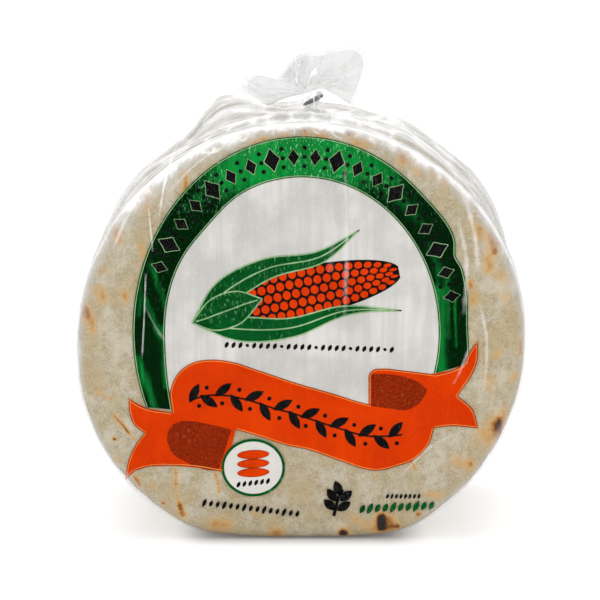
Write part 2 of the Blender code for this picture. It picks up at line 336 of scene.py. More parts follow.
# %% Film material
def film_material(name, scale, depth, haze, most_haze, aslant, tone):
    """Clear film. haze is the veil's share where it lies flat, most_haze where the bunch_and_glare mask is 1.
    Where the loose mask is 1, aslant times (0.9 less the squared cosine of the viewing angle) to the power
    of 1.5 is added to that mask. The veil goes from tone to white as the film bunches and glares, a painted
    highlight, and the mirror's share is about half the fifth power of one minus the cosine."""
    material, tree, out, place = new_material(name)
    crinkle = add(tree, "ShaderNodeGroup", {}, node_tree=film_crinkle)
    tree.links.new(place, crinkle.inputs["Vector"])
    crinkle.inputs["Scale"].default_value = scale
    crinkle.inputs["Depth"].default_value = depth
    bunch_and_glare = add(tree, "ShaderNodeAttribute", {}, attribute_name="bunch_and_glare").outputs["Fac"]
    streak = cloud(tree, stretched(tree, place, (330.0, 330.0, 110.0)), 1.0, 3.0, 0.6)
    patch = maths(tree, "MULTIPLY", bunch_and_glare, step(tree, streak, 0.3, 0.7, 0.7, 1.15))
    # Crease glints add white veil along the crinkle's creases: painted highlights.
    crease_glints = maths(tree, "MULTIPLY", crinkle.outputs["Crease Glint"], maths(tree, "ADD", bunch_and_glare, 0.01))
    patch = maths(tree, "ADD", patch, maths(tree, "MULTIPLY", crease_glints, 0.6))
    loose = add(tree, "ShaderNodeAttribute", {}, attribute_name="loose").outputs["Fac"]
    facing = add(tree, "ShaderNodeLayerWeight", {"Blend": 0.5}).outputs["Facing"]
    cosine = maths(tree, "SUBTRACT", 1.0, facing)
    sine_squared = maths(tree, "SUBTRACT", 0.90, maths(tree, "MULTIPLY", cosine, cosine))
    slant = maths(tree, "POWER", maths(tree, "MAXIMUM", sine_squared, 0.0), 1.5)
    slant = maths(tree, "MULTIPLY", slant, aslant)
    patch = maths(tree, "ADD", patch, maths(tree, "MULTIPLY", slant, loose))
    patch = maths(tree, "MINIMUM", patch, 1.0)
    # Where the film bunches and glares, the veil turns from tone to white: a painted highlight.
    painted_highlight = step(tree, maths(tree, "MULTIPLY", patch, bunch_and_glare), 0.1, 0.7)
    highlighted_veil = blend(tree, painted_highlight, (tone, tone, tone * 0.99, 1), (1, 1, 1, 1))
    share = {"Value": patch, "To Min": haze, "To Max": most_haze}
    veil_share = add(tree, "ShaderNodeMapRange", share).outputs[0]
    clear = add(tree, "ShaderNodeBsdfTransparent", {"Color": (1, 1, 1, 1)})
    mirror = add(
        tree,
        "ShaderNodeBsdfGlossy",
        {"Color": (1, 1, 1, 1), "Roughness": 0.12, "Normal": crinkle.outputs["Normal"]},
    )
    veil = add(
        tree,
        "ShaderNodeBsdfPrincipled",
        {"Base Color": highlighted_veil, "Roughness": 0.4, "Normal": crinkle.outputs["Normal"]},
    )
    weight = {"Blend": 0.5, "Normal": crinkle.outputs["Normal"]}
    glancing = add(tree, "ShaderNodeLayerWeight", weight).outputs["Facing"]
    share = {"Value": maths(tree, "POWER", glancing, 5.0), "To Min": 0.001, "To Max": 0.5}
    shine = add(tree, "ShaderNodeMixShader", {0: add(tree, "ShaderNodeMapRange", share).outputs[0]})
    tree.links.new(clear.outputs[0], shine.inputs[1])
    tree.links.new(mirror.outputs[0], shine.inputs[2])
    whole = add(tree, "ShaderNodeMixShader", {0: veil_share})
    tree.links.new(shine.outputs[0], whole.inputs[1])
    tree.links.new(veil.outputs[0], whole.inputs[2])
    lit = add(tree, "ShaderNodeMixShader", {0: add(tree, "ShaderNodeLightPath").outputs["Is Shadow Ray"]})
    tree.links.new(whole.outputs[0], lit.inputs[1])
    tree.links.new(clear.outputs[0], lit.inputs[2])
    tree.links.new(lit.outputs[0], out.inputs["Surface"])
    return material


body_film = film_material("clear film", 150.0, 0.6, 0.0, 0.90, 0.82, 0.78)
tail_film = film_material("gathered film", 240.0, 0.5, 0.20, 0.70, 0.0, 0.53)
glare_film = film_material("film glare", 300.0, 0.2, 0.0, 0.95, 0.0, 0.98)

# %% [markdown]
# ### Ink
#
# The front is printed in flat inks: a green arch, a milky panel, an orange ribbon and black marks. The
# film stretches over a grainy surface, so the ink shows fine pale flecks and tones that drift. Soft
# upright streaks darken it as painted shade of the film's upright folds. A group makes these masks and
# each ink sets how strong they are.

# %% Ink wear group
tree, given, result = new_group(
    "ink_wear",
    [("Vector", "Vector", None), ("Fleck Scale", "Float", 1900.0)],
    [("Fleck", "Float"), ("Fold Shade", "Float"), ("Tone", "Float")],
)
specks = cloud(tree, stretched(tree, given["Vector"], (1.0, 1.0, 0.36)), given["Fleck Scale"], 2.0, 0.65)
drift = cloud(tree, given["Vector"], 70.0, 4.0, 0.6)
upright = cloud(tree, stretched(tree, given["Vector"], (420.0, 60.0, 26.0)), 1.0, 3.0, 0.6)
flecks = maths(tree, "MULTIPLY", step(tree, specks, 0.56, 0.68), step(tree, drift, 0.40, 0.56))
tree.links.new(flecks, result["Fleck"])
# Upright streaks that the inks use as painted shade of the film's folds.
tree.links.new(step(tree, upright, 0.36, 0.66), result["Fold Shade"])
tree.links.new(step(tree, drift, 0.34, 0.66), result["Tone"])
ink_wear = tree


# %% Ink material
def ink_material(name, colour, deep, fleck_colour, fleck, streak, stipple=0.0, lit=False):
    """An ink that drifts between two tones, with upright streaks of its deep tone as painted shade of the
    film's folds and flecks of a paler colour on top. With lit, the first tone shows only where the lit mask
    is high, and the flecks only where the flecked mask is."""
    material, tree, out, place = new_material(name)
    wear = add(tree, "ShaderNodeGroup", {}, node_tree=ink_wear)
    tree.links.new(place, wear.inputs["Vector"])
    tone = maths(tree, "MULTIPLY", wear.outputs["Tone"], 0.75)
    flecks = maths(tree, "MULTIPLY", wear.outputs["Fleck"], fleck)
    if lit:
        mask = add(tree, "ShaderNodeAttribute", {}, attribute_name="lit").outputs["Fac"]
        tone = maths(tree, "SUBTRACT", 1.0, step(tree, mask, 0.0, 1.0))
        tone = maths(tree, "ADD", tone, maths(tree, "MULTIPLY", wear.outputs["Tone"], 0.22))
        flecked = add(tree, "ShaderNodeAttribute", {}, attribute_name="flecked").outputs["Fac"]
        flecks = maths(tree, "MULTIPLY", flecks, flecked)
    ink = blend(tree, tone, (*colour, 1), (*deep, 1))
    # The fold shade mask darkens the ink towards its deep tone: painted shade of the film's upright folds.
    ink = blend(tree, maths(tree, "MULTIPLY", wear.outputs["Fold Shade"], streak), ink, (*deep, 1))
    if stipple:
        dots = step(tree, cloud(tree, place, 2100.0, 2.0, 0.8), 0.42, 0.62)
        ink = blend(tree, maths(tree, "MULTIPLY", dots, stipple), (*deep, 1), (*colour, 1))
        ink = blend(tree, maths(tree, "MULTIPLY", wear.outputs["Tone"], 0.45), ink, (*deep, 1))
    ink = blend(tree, flecks, ink, (*fleck_colour, 1))
    bump = add(tree, "ShaderNodeBump", {"Height": wear.outputs["Fleck"], "Strength": 0.2, "Distance": 0.0002})
    roughness = step(tree, wear.outputs["Fold Shade"], 0.0, 1.0, 0.6, 0.75)
    shader = add(
        tree,
        "ShaderNodeBsdfPrincipled",
        {"Base Color": ink, "Roughness": roughness, "Normal": bump.outputs[0], "Specular IOR Level": 0.0},
    )
    tree.links.new(shader.outputs[0], out.inputs["Surface"])
    return material


milky = ink_material(
    "milky panel ink", (0.60, 0.585, 0.555), (0.42, 0.41, 0.385), (0.66, 0.65, 0.63), 0.3, 0.5
)
orange = ink_material(
    "orange ink", (0.62, 0.042, 0.001), (0.48, 0.025, 0.001), (0.70, 0.10, 0.01), 0.25, 0.35
)
peach = ink_material("orange line ink", (0.76, 0.25, 0.06), (0.70, 0.15, 0.02), (0.8, 0.4, 0.2), 0.3, 0.2)
rust = ink_material("rust line ink", (0.34, 0.04, 0.004), (0.20, 0.02, 0.002), (0.5, 0.1, 0.02), 0.2, 0.3)
brown = ink_material(
    "brown fold ink", (0.38, 0.033, 0.004), (0.14, 0.010, 0.002), (0.6, 0.14, 0.03), 0.2, 0.15, 0.7
)
arch_green = ink_material(
    "arch green ink", (0.004, 0.24, 0.036), (0.0004, 0.011, 0.0015), (0.17, 0.55, 0.24), 1.0, 0.3, lit=True
)
green = ink_material("green ink", (0.002, 0.085, 0.015), (0.001, 0.035, 0.005), (0.10, 0.35, 0.13), 0.5, 0.3)
pale_green = ink_material(
    "pale green line ink", (0.34, 0.47, 0.27), (0.10, 0.26, 0.09), (0.6, 0.7, 0.5), 0.4, 0.5
)
black = ink_material("black ink", (0.006, 0.006, 0.006), (0.003, 0.003, 0.003), (0.06, 0.06, 0.055), 0.3, 0.2)
white = ink_material("white ink", (0.60, 0.58, 0.55), (0.54, 0.52, 0.49), (0.68, 0.67, 0.64), 0.3, 0.3)


# %% [markdown]
# ## The outline of the stack
#
# A pack of soft cakes sags a little: wider than high, flat where it rests, with a bulge at the lower
# left. One function of the angle gives this outline for the cakes and the film alike.

# %% Outline functions
LEFT_BULGE = (math.radians(207), math.radians(26), 1.7 * MM)
EARS = (
    (math.radians(110), math.radians(9.5), 8.9 * MM, 10 * MM),
    (math.radians(138), math.radians(12), 2.2 * MM, -10 * MM),
    (math.radians(63), math.radians(12), 4.0 * MM, -4 * MM),
    (math.radians(39), math.radians(16), 4.2 * MM, 2 * MM),
)
EAR_LENGTH = 26 * MM


def outline_radius(angle):
    """From the axis to the film: a circle, plus a slump of cos(2 angle), plus a bell at the lower left,
    cut off with a round corner by the floor at AXIS_HEIGHT / -sin(angle)."""
    free = RADIUS + FILM_GAP + SLUMP * np.cos(2 * angle)
    free = free + LEFT_BULGE[2] * bell(angle - LEFT_BULGE[0], LEFT_BULGE[1])
    below = np.maximum(-np.sin(angle), 1e-6)
    return smooth_min(free, AXIS_HEIGHT / below, 5.5 * MM)


def off_base(angle):
    """0 on the flat base, 1 a little way up the side."""
    return smooth_step(AXIS_HEIGHT + outline_radius(angle) * np.sin(angle), 1 * MM, 13 * MM)


def ear_height(angle, depth):
    """Film standing off the stack: each ear is a bell round the axis times a tent along it."""
    height = 0.0
    for at, spread, rise, middle in EARS:
        along = np.clip(1 - np.abs(depth - middle) / EAR_LENGTH, 0, 1) ** 0.8
        height = height + rise * bell(angle - at, spread) * along
    return height


def cake_shift(number, angle):
    """How far one cake stands out of line: a sine of its number sideways and another upwards."""
    sideways = CAKE_SHIFT * np.sin(2.4 * number + 0.7)
    taller = CAKE_SHIFT * np.sin(1.7 * number + 2.1)
    return sideways * np.cos(angle) + taller * np.maximum(np.sin(angle), 0)


# %% [markdown]
# ## The cakes
#
# An arepa is patted flat, so its rim is a rolled round edge that wanders in and out, and its faces dip
# and rise. Each is a profile (face, rim, face) carried round the outline. Toast marks are bells and
# streaks: the front cake has the marks that the photograph shows, the others have seeded ones.

# %% Toast marks
FRONT_MARKS = (  # x and height above the axis of a mark's two ends, half width, strength; all in mm
    (-53.6, -21.0, -49.9, -25.4, 0.50, 0.72), (-49.7, -25.7, -47.6, -28.2, 0.45, 0.50),
    (-36.7, -36.8, -36.2, -40.4, 0.55, 0.66), (-36.1, -41.2, -35.2, -46.4, 0.40, 0.54),
    (-35.0, -47.2, -34.3, -49.4, 0.80, 0.84), (-25.0, -37.4, -23.9, -43.2, 0.45, 0.72),
    (-48.1, -38.6, -46.9, -41.7, 0.50, 0.84), (-44.8, -43.8, -44.5, -44.1, 0.50, 0.50),
    (-40.3, -46.5, -39.8, -47.0, 0.40, 0.95), (-53.8, -27.8, -53.7, -27.9, 0.40, 1.15),
    (-54.6, -16.2, -54.4, -16.3, 0.50, 0.60), (-53.5, -33.8, -53.1, -34.1, 0.90, 0.55),
    (-57.9, -14.2, -57.5, -14.6, 1.00, 0.40), (-24.8, -52.2, -22.0, -52.6, 1.60, 0.48),
    (-7.6, -54.3, -6.8, -54.5, 1.60, 0.46), (-13.7, -49.0, -13.0, -49.3, 1.20, 0.32),
    (-42.9, -41.3, -42.3, -41.6, 1.30, 0.28), (-32.7, 48.0, -32.7, 44.1, 1.10, 0.58),
    (-43.8, 43.0, -44.0, 38.8, 1.00, 0.52), (-53.1, 32.6, -52.4, 29.5, 1.40, 0.58),
    (-45.9, 27.2, -44.7, 24.6, 1.10, 0.46), (-56.5, 20.7, -56.2, 20.4, 1.20, 0.36),
    (-57.1, 15.0, -56.9, 12.3, 1.30, 0.44), (-59.8, 15.4, -59.6, 15.2, 0.80, 0.36),
    (-61.3, 10.3, -61.3, 7.7, 1.10, 0.70), (-59.8, 5.7, -59.6, 3.4, 1.30, 0.46),
    (-51.2, 15.0, -50.6, 13.8, 0.90, 0.36), (-50.3, 12.3, -50.1, 12.0, 1.30, 0.34),
    (-48.2, 40.6, -47.8, 40.0, 2.00, 0.26), (28.4, 53.5, 28.7, 52.0, 1.10, 0.58),
    (36.7, 51.2, 37.2, 49.9, 1.10, 0.52), (32.1, 50.2, 32.5, 48.2, 1.30, 0.38),
    (39.6, 47.9, 41.3, 45.6, 1.80, 0.40), (49.4, 38.0, 49.4, 37.0, 0.45, 0.75),
    (48.4, 35.4, 48.2, 35.0, 1.20, 0.30), (50.4, 32.8, 49.9, 30.5, 0.90, 0.55),
    (53.0, 30.5, 54.0, 26.6, 1.70, 0.46), (52.7, 24.0, 53.4, 22.8, 1.20, 0.34),
    (54.6, 25.9, 54.7, 25.8, 0.35, 0.80), (57.9, 28.5, 57.7, 28.2, 1.20, 0.34),
    (53.0, 21.3, 52.8, 21.0, 1.40, 0.34), (47.8, 17.3, 48.1, 16.0, 0.80, 0.52),
    (48.8, 12.7, 49.0, 12.3, 1.50, 0.44), (57.9, 13.0, 57.7, 12.6, 1.80, 0.32),
    (56.9, 19.0, 56.7, 18.6, 2.00, 0.28), (62.2, 0.3, 62.4, -3.3, 0.80, 0.72),
    (56.2, -2.9, 55.0, -4.1, 0.90, 0.40), (60.6, -9.8, 60.3, -10.0, 1.40, 0.42),
    (53.2, -10.2, 53.6, -13.4, 1.60, 0.32), (58.4, -20.6, 55.2, -23.8, 2.10, 0.44),
    (56.0, -23.4, 56.2, -27.0, 1.10, 0.58), (51.2, -26.2, 54.4, -29.5, 2.30, 0.36),
    (44.0, -34.3, 48.4, -35.9, 2.20, 0.34), (48.0, -35.0, 48.2, -35.2, 0.60, 0.46),
    (36.8, -43.2, 39.2, -44.4, 1.30, 0.34), (30.9, -34.3, 32.4, -36.3, 0.55, 0.66),
    (20.5, -38.3, 20.7, -38.5, 1.00, 0.30), (22.7, -50.6, 22.9, -53.4, 0.95, 1.75),
    (24.9, -51.6, 25.3, -53.2, 1.40, 0.58), (15.3, -51.2, 19.3, -53.4, 1.70, 0.40),
    (11.4, -55.2, 12.0, -55.4, 0.95, 1.40), (26.9, -53.4, 27.2, -53.5, 0.55, 0.95),
    (33.2, -49.6, 33.4, -49.7, 0.55, 1.05), (0.5, 61.6, 0.9, 59.1, 0.50, 1.05),
    (12.6, 60.8, 12.6, 59.5, 0.60, 1.10), (11.8, 60.4, 13.8, 59.9, 1.10, 0.45),
    (-11.2, 58.2, -10.4, 57.4, 0.90, 0.56), (-13.7, 57.4, -13.5, 57.2, 0.90, 0.44),
    (-6.6, 59.5, -4.5, 59.1, 0.80, 0.40), (4.2, 58.7, 7.2, 59.1, 0.80, 0.56),
    (15.5, 57.4, 18.4, 56.6, 1.40, 0.40), (47.0, 5.0, 48.5, -3.0, 2.40, 0.20),
)
RANDOM_MARKS = 34


def random_marks(number):
    """Seeded marks for a cake that doesn't show: most near the rim, where a cake browns first."""
    chance = np.random.default_rng(100 + number)
    angle = chance.uniform(0, 2 * math.pi, RANDOM_MARKS)
    reach = 62 * np.sqrt(chance.uniform(0.45, 1.0, RANDOM_MARKS))
    x, z = reach * np.cos(angle), reach * np.sin(angle)
    length = chance.uniform(0.5, 7.0, RANDOM_MARKS)
    lean = chance.uniform(0.9, 2.2, RANDOM_MARKS)
    width = chance.uniform(0.7, 2.4, RANDOM_MARKS)
    strength = chance.uniform(0.25, 0.85, RANDOM_MARKS) / np.sqrt(width)
    return np.stack([x, z, x + length * np.cos(lean), z - length * np.sin(lean), width, strength], axis=1)


def streaks(x, z, marks):
    """The sum over all marks of strength times 0.75 of a bell of the distance to the mark's line, plus
    0.25 of a bell 2.4 times as wide."""
    total = np.zeros_like(x)
    for x0, z0, x1, z1, width, strength in np.array(marks) * ([MM] * 5 + [1]):
        along = ((x - x0) * (x1 - x0) + (z - z0) * (z1 - z0)) / ((x1 - x0) ** 2 + (z1 - z0) ** 2 + 1e-12)
        along = np.clip(along, 0, 1)
        away = np.hypot(x - x0 - along * (x1 - x0), z - z0 - along * (z1 - z0))
        total += strength * (0.75 * bell(away, width) + 0.25 * bell(away, 2.4 * width))
    return total


# %% One cake
def cake(number):
    """A disc. Round it runs the outline less a wandering margin. Across it runs the profile: from the
    middle of one face out to the rim, round it in a half circle, and back to the middle of the other."""
    around, front_rows, back_rows = {0: (460, 165, 12), COUNT - 1: (300, 12, 70)}.get(number, (240, 10, 10))
    angle = np.linspace(-math.pi / 2, 1.5 * math.pi, around, endpoint=False)
    middle = (number - (COUNT - 1) / 2) * THICKNESS
    half = THICKNESS / 2 - 0.07 * MM
    ring = np.stack([np.cos(angle), np.full(around, number * 0.7), np.sin(angle)], axis=-1)
    margin = 0.14 * MM + 0.22 * MM * noise(ring, 0.16, 3) + 0.12 * MM * noise(ring, 0.05, 4)
    shown = number in (0, COUNT - 1)
    rim = outline_radius(angle) - FILM_GAP + cake_shift(number, angle) * off_base(angle) * (not shown)
    rim = rim - np.maximum(margin, 0.05 * MM) * off_base(angle)
    turns = np.linspace(0, math.pi, 17)[1:-1]
    flat = rim - RIM_ROUND
    front = np.linspace(0.01, 1, front_rows)[:, None] * flat
    back = np.linspace(1, 0.01, back_rows)[:, None] * flat
    radius = np.concatenate([front, flat + RIM_ROUND * np.sin(turns)[:, None], back])
    side = np.concatenate([np.full(front_rows, -1.0), -np.cos(turns), np.full(back_rows, 1.0)])[:, None]
    x = radius * np.cos(angle)
    z = AXIS_HEIGHT + radius * np.sin(angle)
    y = np.broadcast_to(middle + side * half, x.shape)
    points = np.stack([AXIS_X + x, y, np.maximum(z, FILM_GAP)], axis=-1)
    dent = 0.5 + 0.5 * noise(points, 9 * MM, 5 + number) + 0.25 * noise(points, 2.6 * MM, 6)
    points[..., 1] -= side * np.clip(dent, 0, 1.2) * 0.16 * MM
    marks = FRONT_MARKS if number == 0 else random_marks(number)
    swerve = 0.45 * MM * noise(points, 4 * MM, 7)
    toast = streaks(x + swerve, z - AXIS_HEIGHT + swerve, marks)
    toast = toast * (1 + 0.22 * noise(points, 2.2 * MM, 8))
    near_rim = smooth_step(radius / (flat + RIM_ROUND), 0.92, 1.0)
    toast = toast + near_rim * smooth_step(noise(points, 8 * MM, 9 + number), 0.1, 0.75) * 0.3
    piece = surface(f"cake_{number + 1}", points, corn_cake, wrap=True, caps=True, values={"toast": toast})
    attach(piece, "root")
    return piece


cakes = [cake(number) for number in range(COUNT)]
print(len(cakes), "cakes,", sum(len(piece.data.polygons) for piece in cakes), "faces")


# %% [markdown]
# ## The film round the stack
#
# The film is one thin skin. It lies flat on the front cake, rolls over its rim, dips between the cakes
# and stands off them in ears near the clip. Its folds are small: upright streaks on the front, where the
# bag was pulled tight, and pleats that run out from the neck on top.

# %% Folds of the film
def front_folds(x, z):
    """Outward relief of the front film, 0 to 0.22 mm: noise stretched upwards, and a fine unevenness."""
    upright = noise(np.stack([x / (3.2 * MM), 0 * x, z / (26 * MM)], axis=-1), 1.0, 21)
    turned = np.stack([(x + 0.4 * z) / (9 * MM), 0 * x, (z - 0.4 * x) / (30 * MM)], axis=-1)
    slanted = crease(turned, 1.0, 22, 8)
    even = noise(np.stack([x, 0 * x, z], axis=-1), 5 * MM, 23)
    return MM * (0.10 + 0.06 * upright + 0.04 * slanted + 0.02 * even)


def neck_distance(points):
    """How far points are from the neck, seen from above."""
    return np.hypot(points[..., 0] - NECK[0], points[..., 1] - NECK[1])


def pleats(points):
    """Folds that run out from the neck: ridges of its bearing, deepest near it and gone 40 mm away."""
    bearing = np.arctan2(points[..., 1] - NECK[1], points[..., 0] - NECK[0])
    away = neck_distance(points)
    fan = np.stack([np.cos(bearing), np.sin(bearing), away / (90 * MM)], axis=-1)
    ridges = crease(fan, 0.20, 31, 2) + 0.6 * crease(fan, 0.09, 32, 2)
    return MM * 1.3 * ridges * bell(away, 24 * MM) * smooth_step(points[..., 2], 85 * MM, 112 * MM)


# %% The skin
AROUND = 400
FACE_ROWS, SIDE_ROWS, BACK_ROWS, ROUND_ROWS = 50, 132, 18, 6


def skin_rows(angle):
    """Radius and depth of every row: face, round edge, side, round edge, back."""
    rim = outline_radius(angle)
    arcs = np.linspace(0, math.pi / 2, ROUND_ROWS + 1)[:-1]
    flat = rim - RIM_ROUND
    faces = np.linspace(0.02, 0.98, FACE_ROWS)[:, None] * flat
    backs = np.linspace(0.98, 0.02, BACK_ROWS)[:, None] * flat
    edge = flat + RIM_ROUND * np.sin(arcs)[:, None]
    edge_depth = HALF_DEPTH - RIM_ROUND + RIM_ROUND * np.cos(arcs)
    depth = np.linspace(-(HALF_DEPTH - RIM_ROUND), HALF_DEPTH - RIM_ROUND, SIDE_ROWS)
    place = (depth + COUNT * THICKNESS / 2) / THICKNESS
    number = np.clip(np.floor(place), 0, COUNT - 1)
    share = np.clip(place - number, 0, 1)
    between = np.clip(1 - np.minimum(share, 1 - share) / 0.3, 0, 1)
    inside = (share < 0.3) & (number == 0) | (share > 0.7) & (number == COUNT - 1)
    between = np.where(inside, 0, between)[:, None]
    ends = smooth_step(HALF_DEPTH - np.abs(depth), RIM_ROUND, RIM_ROUND + 3 * MM)[:, None]
    lean = np.clip((place - 0.5), 0, COUNT - 1)[:, None]
    low = np.floor(lean)
    mix = smooth_step(lean - low, 0.2, 0.8)
    shift = cake_shift(low, angle) * (1 - mix) + cake_shift(np.minimum(low + 1, COUNT - 1), angle) * mix
    dip = GROOVE_DEPTH * between**1.5
    side = rim + (shift - dip) * off_base(angle) * ends + ear_height(angle, depth[:, None])
    radius = np.concatenate([faces, edge, side, edge[::-1], backs])
    rows = np.concatenate(
        [
            np.full(FACE_ROWS, -HALF_DEPTH),
            -edge_depth,
            depth,
            edge_depth[::-1],
            np.full(BACK_ROWS, HALF_DEPTH),
        ]
    )
    return radius, rows


def skin():
    """The closed skin of film, with its folds pushed out along the radius, and along -Y or +Y on the
    faces. The bunch_and_glare mask says where it is gathered and where its veil is painted whiter as a
    highlight, the loose mask where it stands off the cakes."""
    angle = np.linspace(-math.pi / 2, 1.5 * math.pi, AROUND, endpoint=False)
    radius, rows = skin_rows(angle)
    x, z = radius * np.cos(angle), AXIS_HEIGHT + radius * np.sin(angle)
    y = np.broadcast_to(rows[:, None], x.shape).copy()
    points = np.stack([AXIS_X + x, y, z], axis=-1)
    faceness = smooth_step(np.abs(y), HALF_DEPTH - RIM_ROUND, HALF_DEPTH - 0.3 * MM)
    folds = front_folds(x, z - AXIS_HEIGHT)
    wander = np.stack([points[..., 0], points[..., 1] * 0.6, points[..., 2]], axis=-1)
    side_folds = MM * (0.22 * crease(wander, 7 * MM, 41, 4) + 0.12 * noise(wander, 3 * MM, 42) ** 2)
    out = (side_folds * (1 - faceness) + pleats(points) * (1 - faceness)) * off_base(angle)
    points[..., 0] += out * np.cos(angle)
    points[..., 2] += out * np.sin(angle)
    points[..., 1] += np.sign(y) * folds * faceness
    points[..., 2] = np.maximum(points[..., 2], 0)
    away = neck_distance(points)
    ridges = crease(points, 6 * MM, 43, 3)
    bunch_and_glare = (1 - faceness) * 0.12 * ridges
    gathered = 0.03 + 0.3 * ridges + 0.3 * bell(away, 26 * MM)
    bunch_and_glare += smooth_step(z, 84 * MM, 112 * MM) * (1 - faceness) * gathered
    # The wisps along the top of the front rim, the band on its round edge and the left shoulder whiten the
    # veil: partly haze of film rolled over the rim, partly painted highlights.
    inward = outline_radius(angle) - radius
    radial = np.stack([angle / 0.035 + inward / (3 * MM), 0 * x, inward / (7 * MM)], axis=-1)
    wisps = crease(radial, 1.0, 45, 3)
    upper = smooth_step(z, 74 * MM, 114 * MM) * (0.8 + 0.5 * noise(points, 9 * MM, 44))
    reach = (5.5 - 4.1 * bell(np.degrees(angle) - 84, 19)) * MM
    bunch_and_glare += upper * faceness * smooth_step(inward, reach, 0.4 * reach) * (0.15 + 0.5 * wisps)
    round_edge = smooth_step(np.abs(y), HALF_DEPTH - RIM_ROUND - 1 * MM, HALF_DEPTH - RIM_ROUND + 0.4 * MM)
    edge_haze_and_sheen = round_edge * smooth_step(inward, 3.3 * MM, 0.5 * MM) * off_base(angle)
    bunch_and_glare += 0.48 * edge_haze_and_sheen * (0.9 + 0.4 * noise(points, 7 * MM, 46))
    left_shoulder_glare = bell(np.degrees(angle) - 134, 20)
    bunch_and_glare += 0.25 * left_shoulder_glare * faceness * smooth_step(inward, 7.0 * MM, 2.5 * MM)
    loose = smooth_step(z, 4 * MM, 24 * MM) * (0.8 + 0.2 * smooth_step(z, 60 * MM, 100 * MM))
    values = {"bunch_and_glare": np.clip(bunch_and_glare, 0, 1), "loose": loose * (1 - faceness)}
    return surface("film_bag", points, body_film, wrap=True, caps=True, values=values)


film_bag = skin()
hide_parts("bag")
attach(film_bag, "root")
print("film:", len(film_bag.data.polygons), "faces")

# %% [markdown]
# ## Neck and tail
#
# The mouth of the bag is gathered, runs through the clip and fans out again in two lobes. Cloth
# simulation could gather it, but a shape that is named point by point keeps the lobes of the real one.
# So a loop of points is carried from a pleated skirt up through the clip and out to the mouth. A loose
# inner layer follows the same fan, because the tail looks greyer the more layers the light passes. A
# small sheet is drawn over the clip, which shows through a slit in its veil.

# %% Neck and tail sizes
CLIP_TILT = math.radians(25)
NECK_HALF = (1.7 * MM, 1.4 * MM)
CLIP_CLEAR = 1.4 * MM
SKIRT_HALF, SKIRT_HEIGHT = 9.5 * MM, 118.6 * MM
TAIL_MOUTH = (  # degrees round the neck from +X, and how far the mouth reaches there in mm
    (-12, 12.2), (-2, 12.6), (12, 14.2), (25, 17.0), (34, 19.4), (43, 20.5), (53, 19.2),
    (61, 16.8), (83, 13.4), (103, 13.5), (131, 12.0), (142, 11.6), (150, 11.4), (153.5, 12.4),
    (155.5, 15.5), (157.5, 18.2), (161, 20.0), (167, 21.0), (174, 20.6), (184, 15.0), (190, 13.0),
)
TAIL_RISE = (2.2 * MM, 4.0 * MM)
ACROSS = np.array([math.cos(CLIP_TILT), 0, math.sin(CLIP_TILT)])
ALONG = np.array([-math.sin(CLIP_TILT), 0, math.cos(CLIP_TILT)])


# %% Tail
def smooth_between(at, places, values):
    """A smooth line through values at increasing places that doesn't overshoot them. The slope at each
    place is the harmonic mean of the two beside it, or 0 where they have opposite signs."""
    rise = np.diff(values) / np.diff(places)
    product = rise[:-1] * rise[1:]
    mean = np.where(product > 0, 2 * product / (rise[:-1] + rise[1:] + 1e-12 * (product <= 0)), 0)
    slope = np.r_[rise[0], mean, rise[-1]]
    k = np.clip(np.searchsorted(places, at, side="right") - 1, 0, len(places) - 2)
    width = places[k + 1] - places[k]
    t = np.clip((at - places[k]) / width, 0, 1)
    ends = values[k] * (1 + 2 * t) * (1 - t) ** 2 + values[k + 1] * t * t * (3 - 2 * t)
    return ends + width * (slope[k] * t * (1 - t) ** 2 + slope[k + 1] * t * t * (t - 1))


def fan_angle(turn):
    """The direction in the fan, in degrees from +X: the middle of its span less a cosine of the turn."""
    first, last = TAIL_MOUTH[0][0], TAIL_MOUTH[-1][0]
    return (first + last) / 2 - (last - first) / 2 * np.cos(turn)


def mouth_points(turn, reach_share=1.0):
    """The mouth's edge in the plane of the front, with its reach in each direction from TAIL_MOUTH."""
    degrees, reach = np.array(TAIL_MOUTH, dtype=float).T
    fan = fan_angle(turn)
    length = smooth_between(fan, degrees, reach) * MM * reach_share
    direction = np.stack([np.cos(np.radians(fan)), np.zeros_like(fan), np.sin(np.radians(fan))], axis=-1)
    return NECK + direction * length[:, None]


def neck_loop(turn, half, lift):
    """An oval loop round the neck, tilted as the clip is."""
    across = half[0] * np.cos(turn)[:, None] * ACROSS
    return NECK + across + half[1] * np.outer(-np.sin(turn), [0, 1, 0]) + lift * ALONG


def tail_rows(turn, start, mouth, stations):
    """Rows from the neck to the mouth: a quadratic curve from start over a bend to the mouth."""
    rise = TAIL_RISE[0] + (TAIL_RISE[1] - TAIL_RISE[0]) * np.abs(np.sin(turn))
    bend = start + ALONG * rise[:, None] + (start - start.mean(axis=0)) * 1.2
    share = stations[:, None, None]
    return start * (1 - share) ** 2 + bend * 2 * share * (1 - share) + mouth * share**2


def sway(turn, share):
    """How far the whole fan waves out of its plane: two sines of the direction, growing towards the mouth."""
    fan = np.radians(fan_angle(turn))
    return 1.5 * MM * share**1.5 * (np.sin(5 * fan + 0.6) + 0.5 * np.sin(11 * fan + 2 * share))


def tail_creases(points, turn, seed):
    """Fine folds of the tail, 0 to 1: narrow ones that fan out from the neck, and crumples."""
    fan = fan_angle(turn) + 25 * noise(points, 9 * MM, seed)
    outward = np.linalg.norm(points - NECK, axis=-1) / (14 * MM)
    spokes = crease(np.stack([fan / 9, 0 * fan, outward], axis=-1), 1.0, seed, 5)
    return 0.6 * spokes + 0.4 * crease(points, 3.6 * MM, seed + 1, 3)


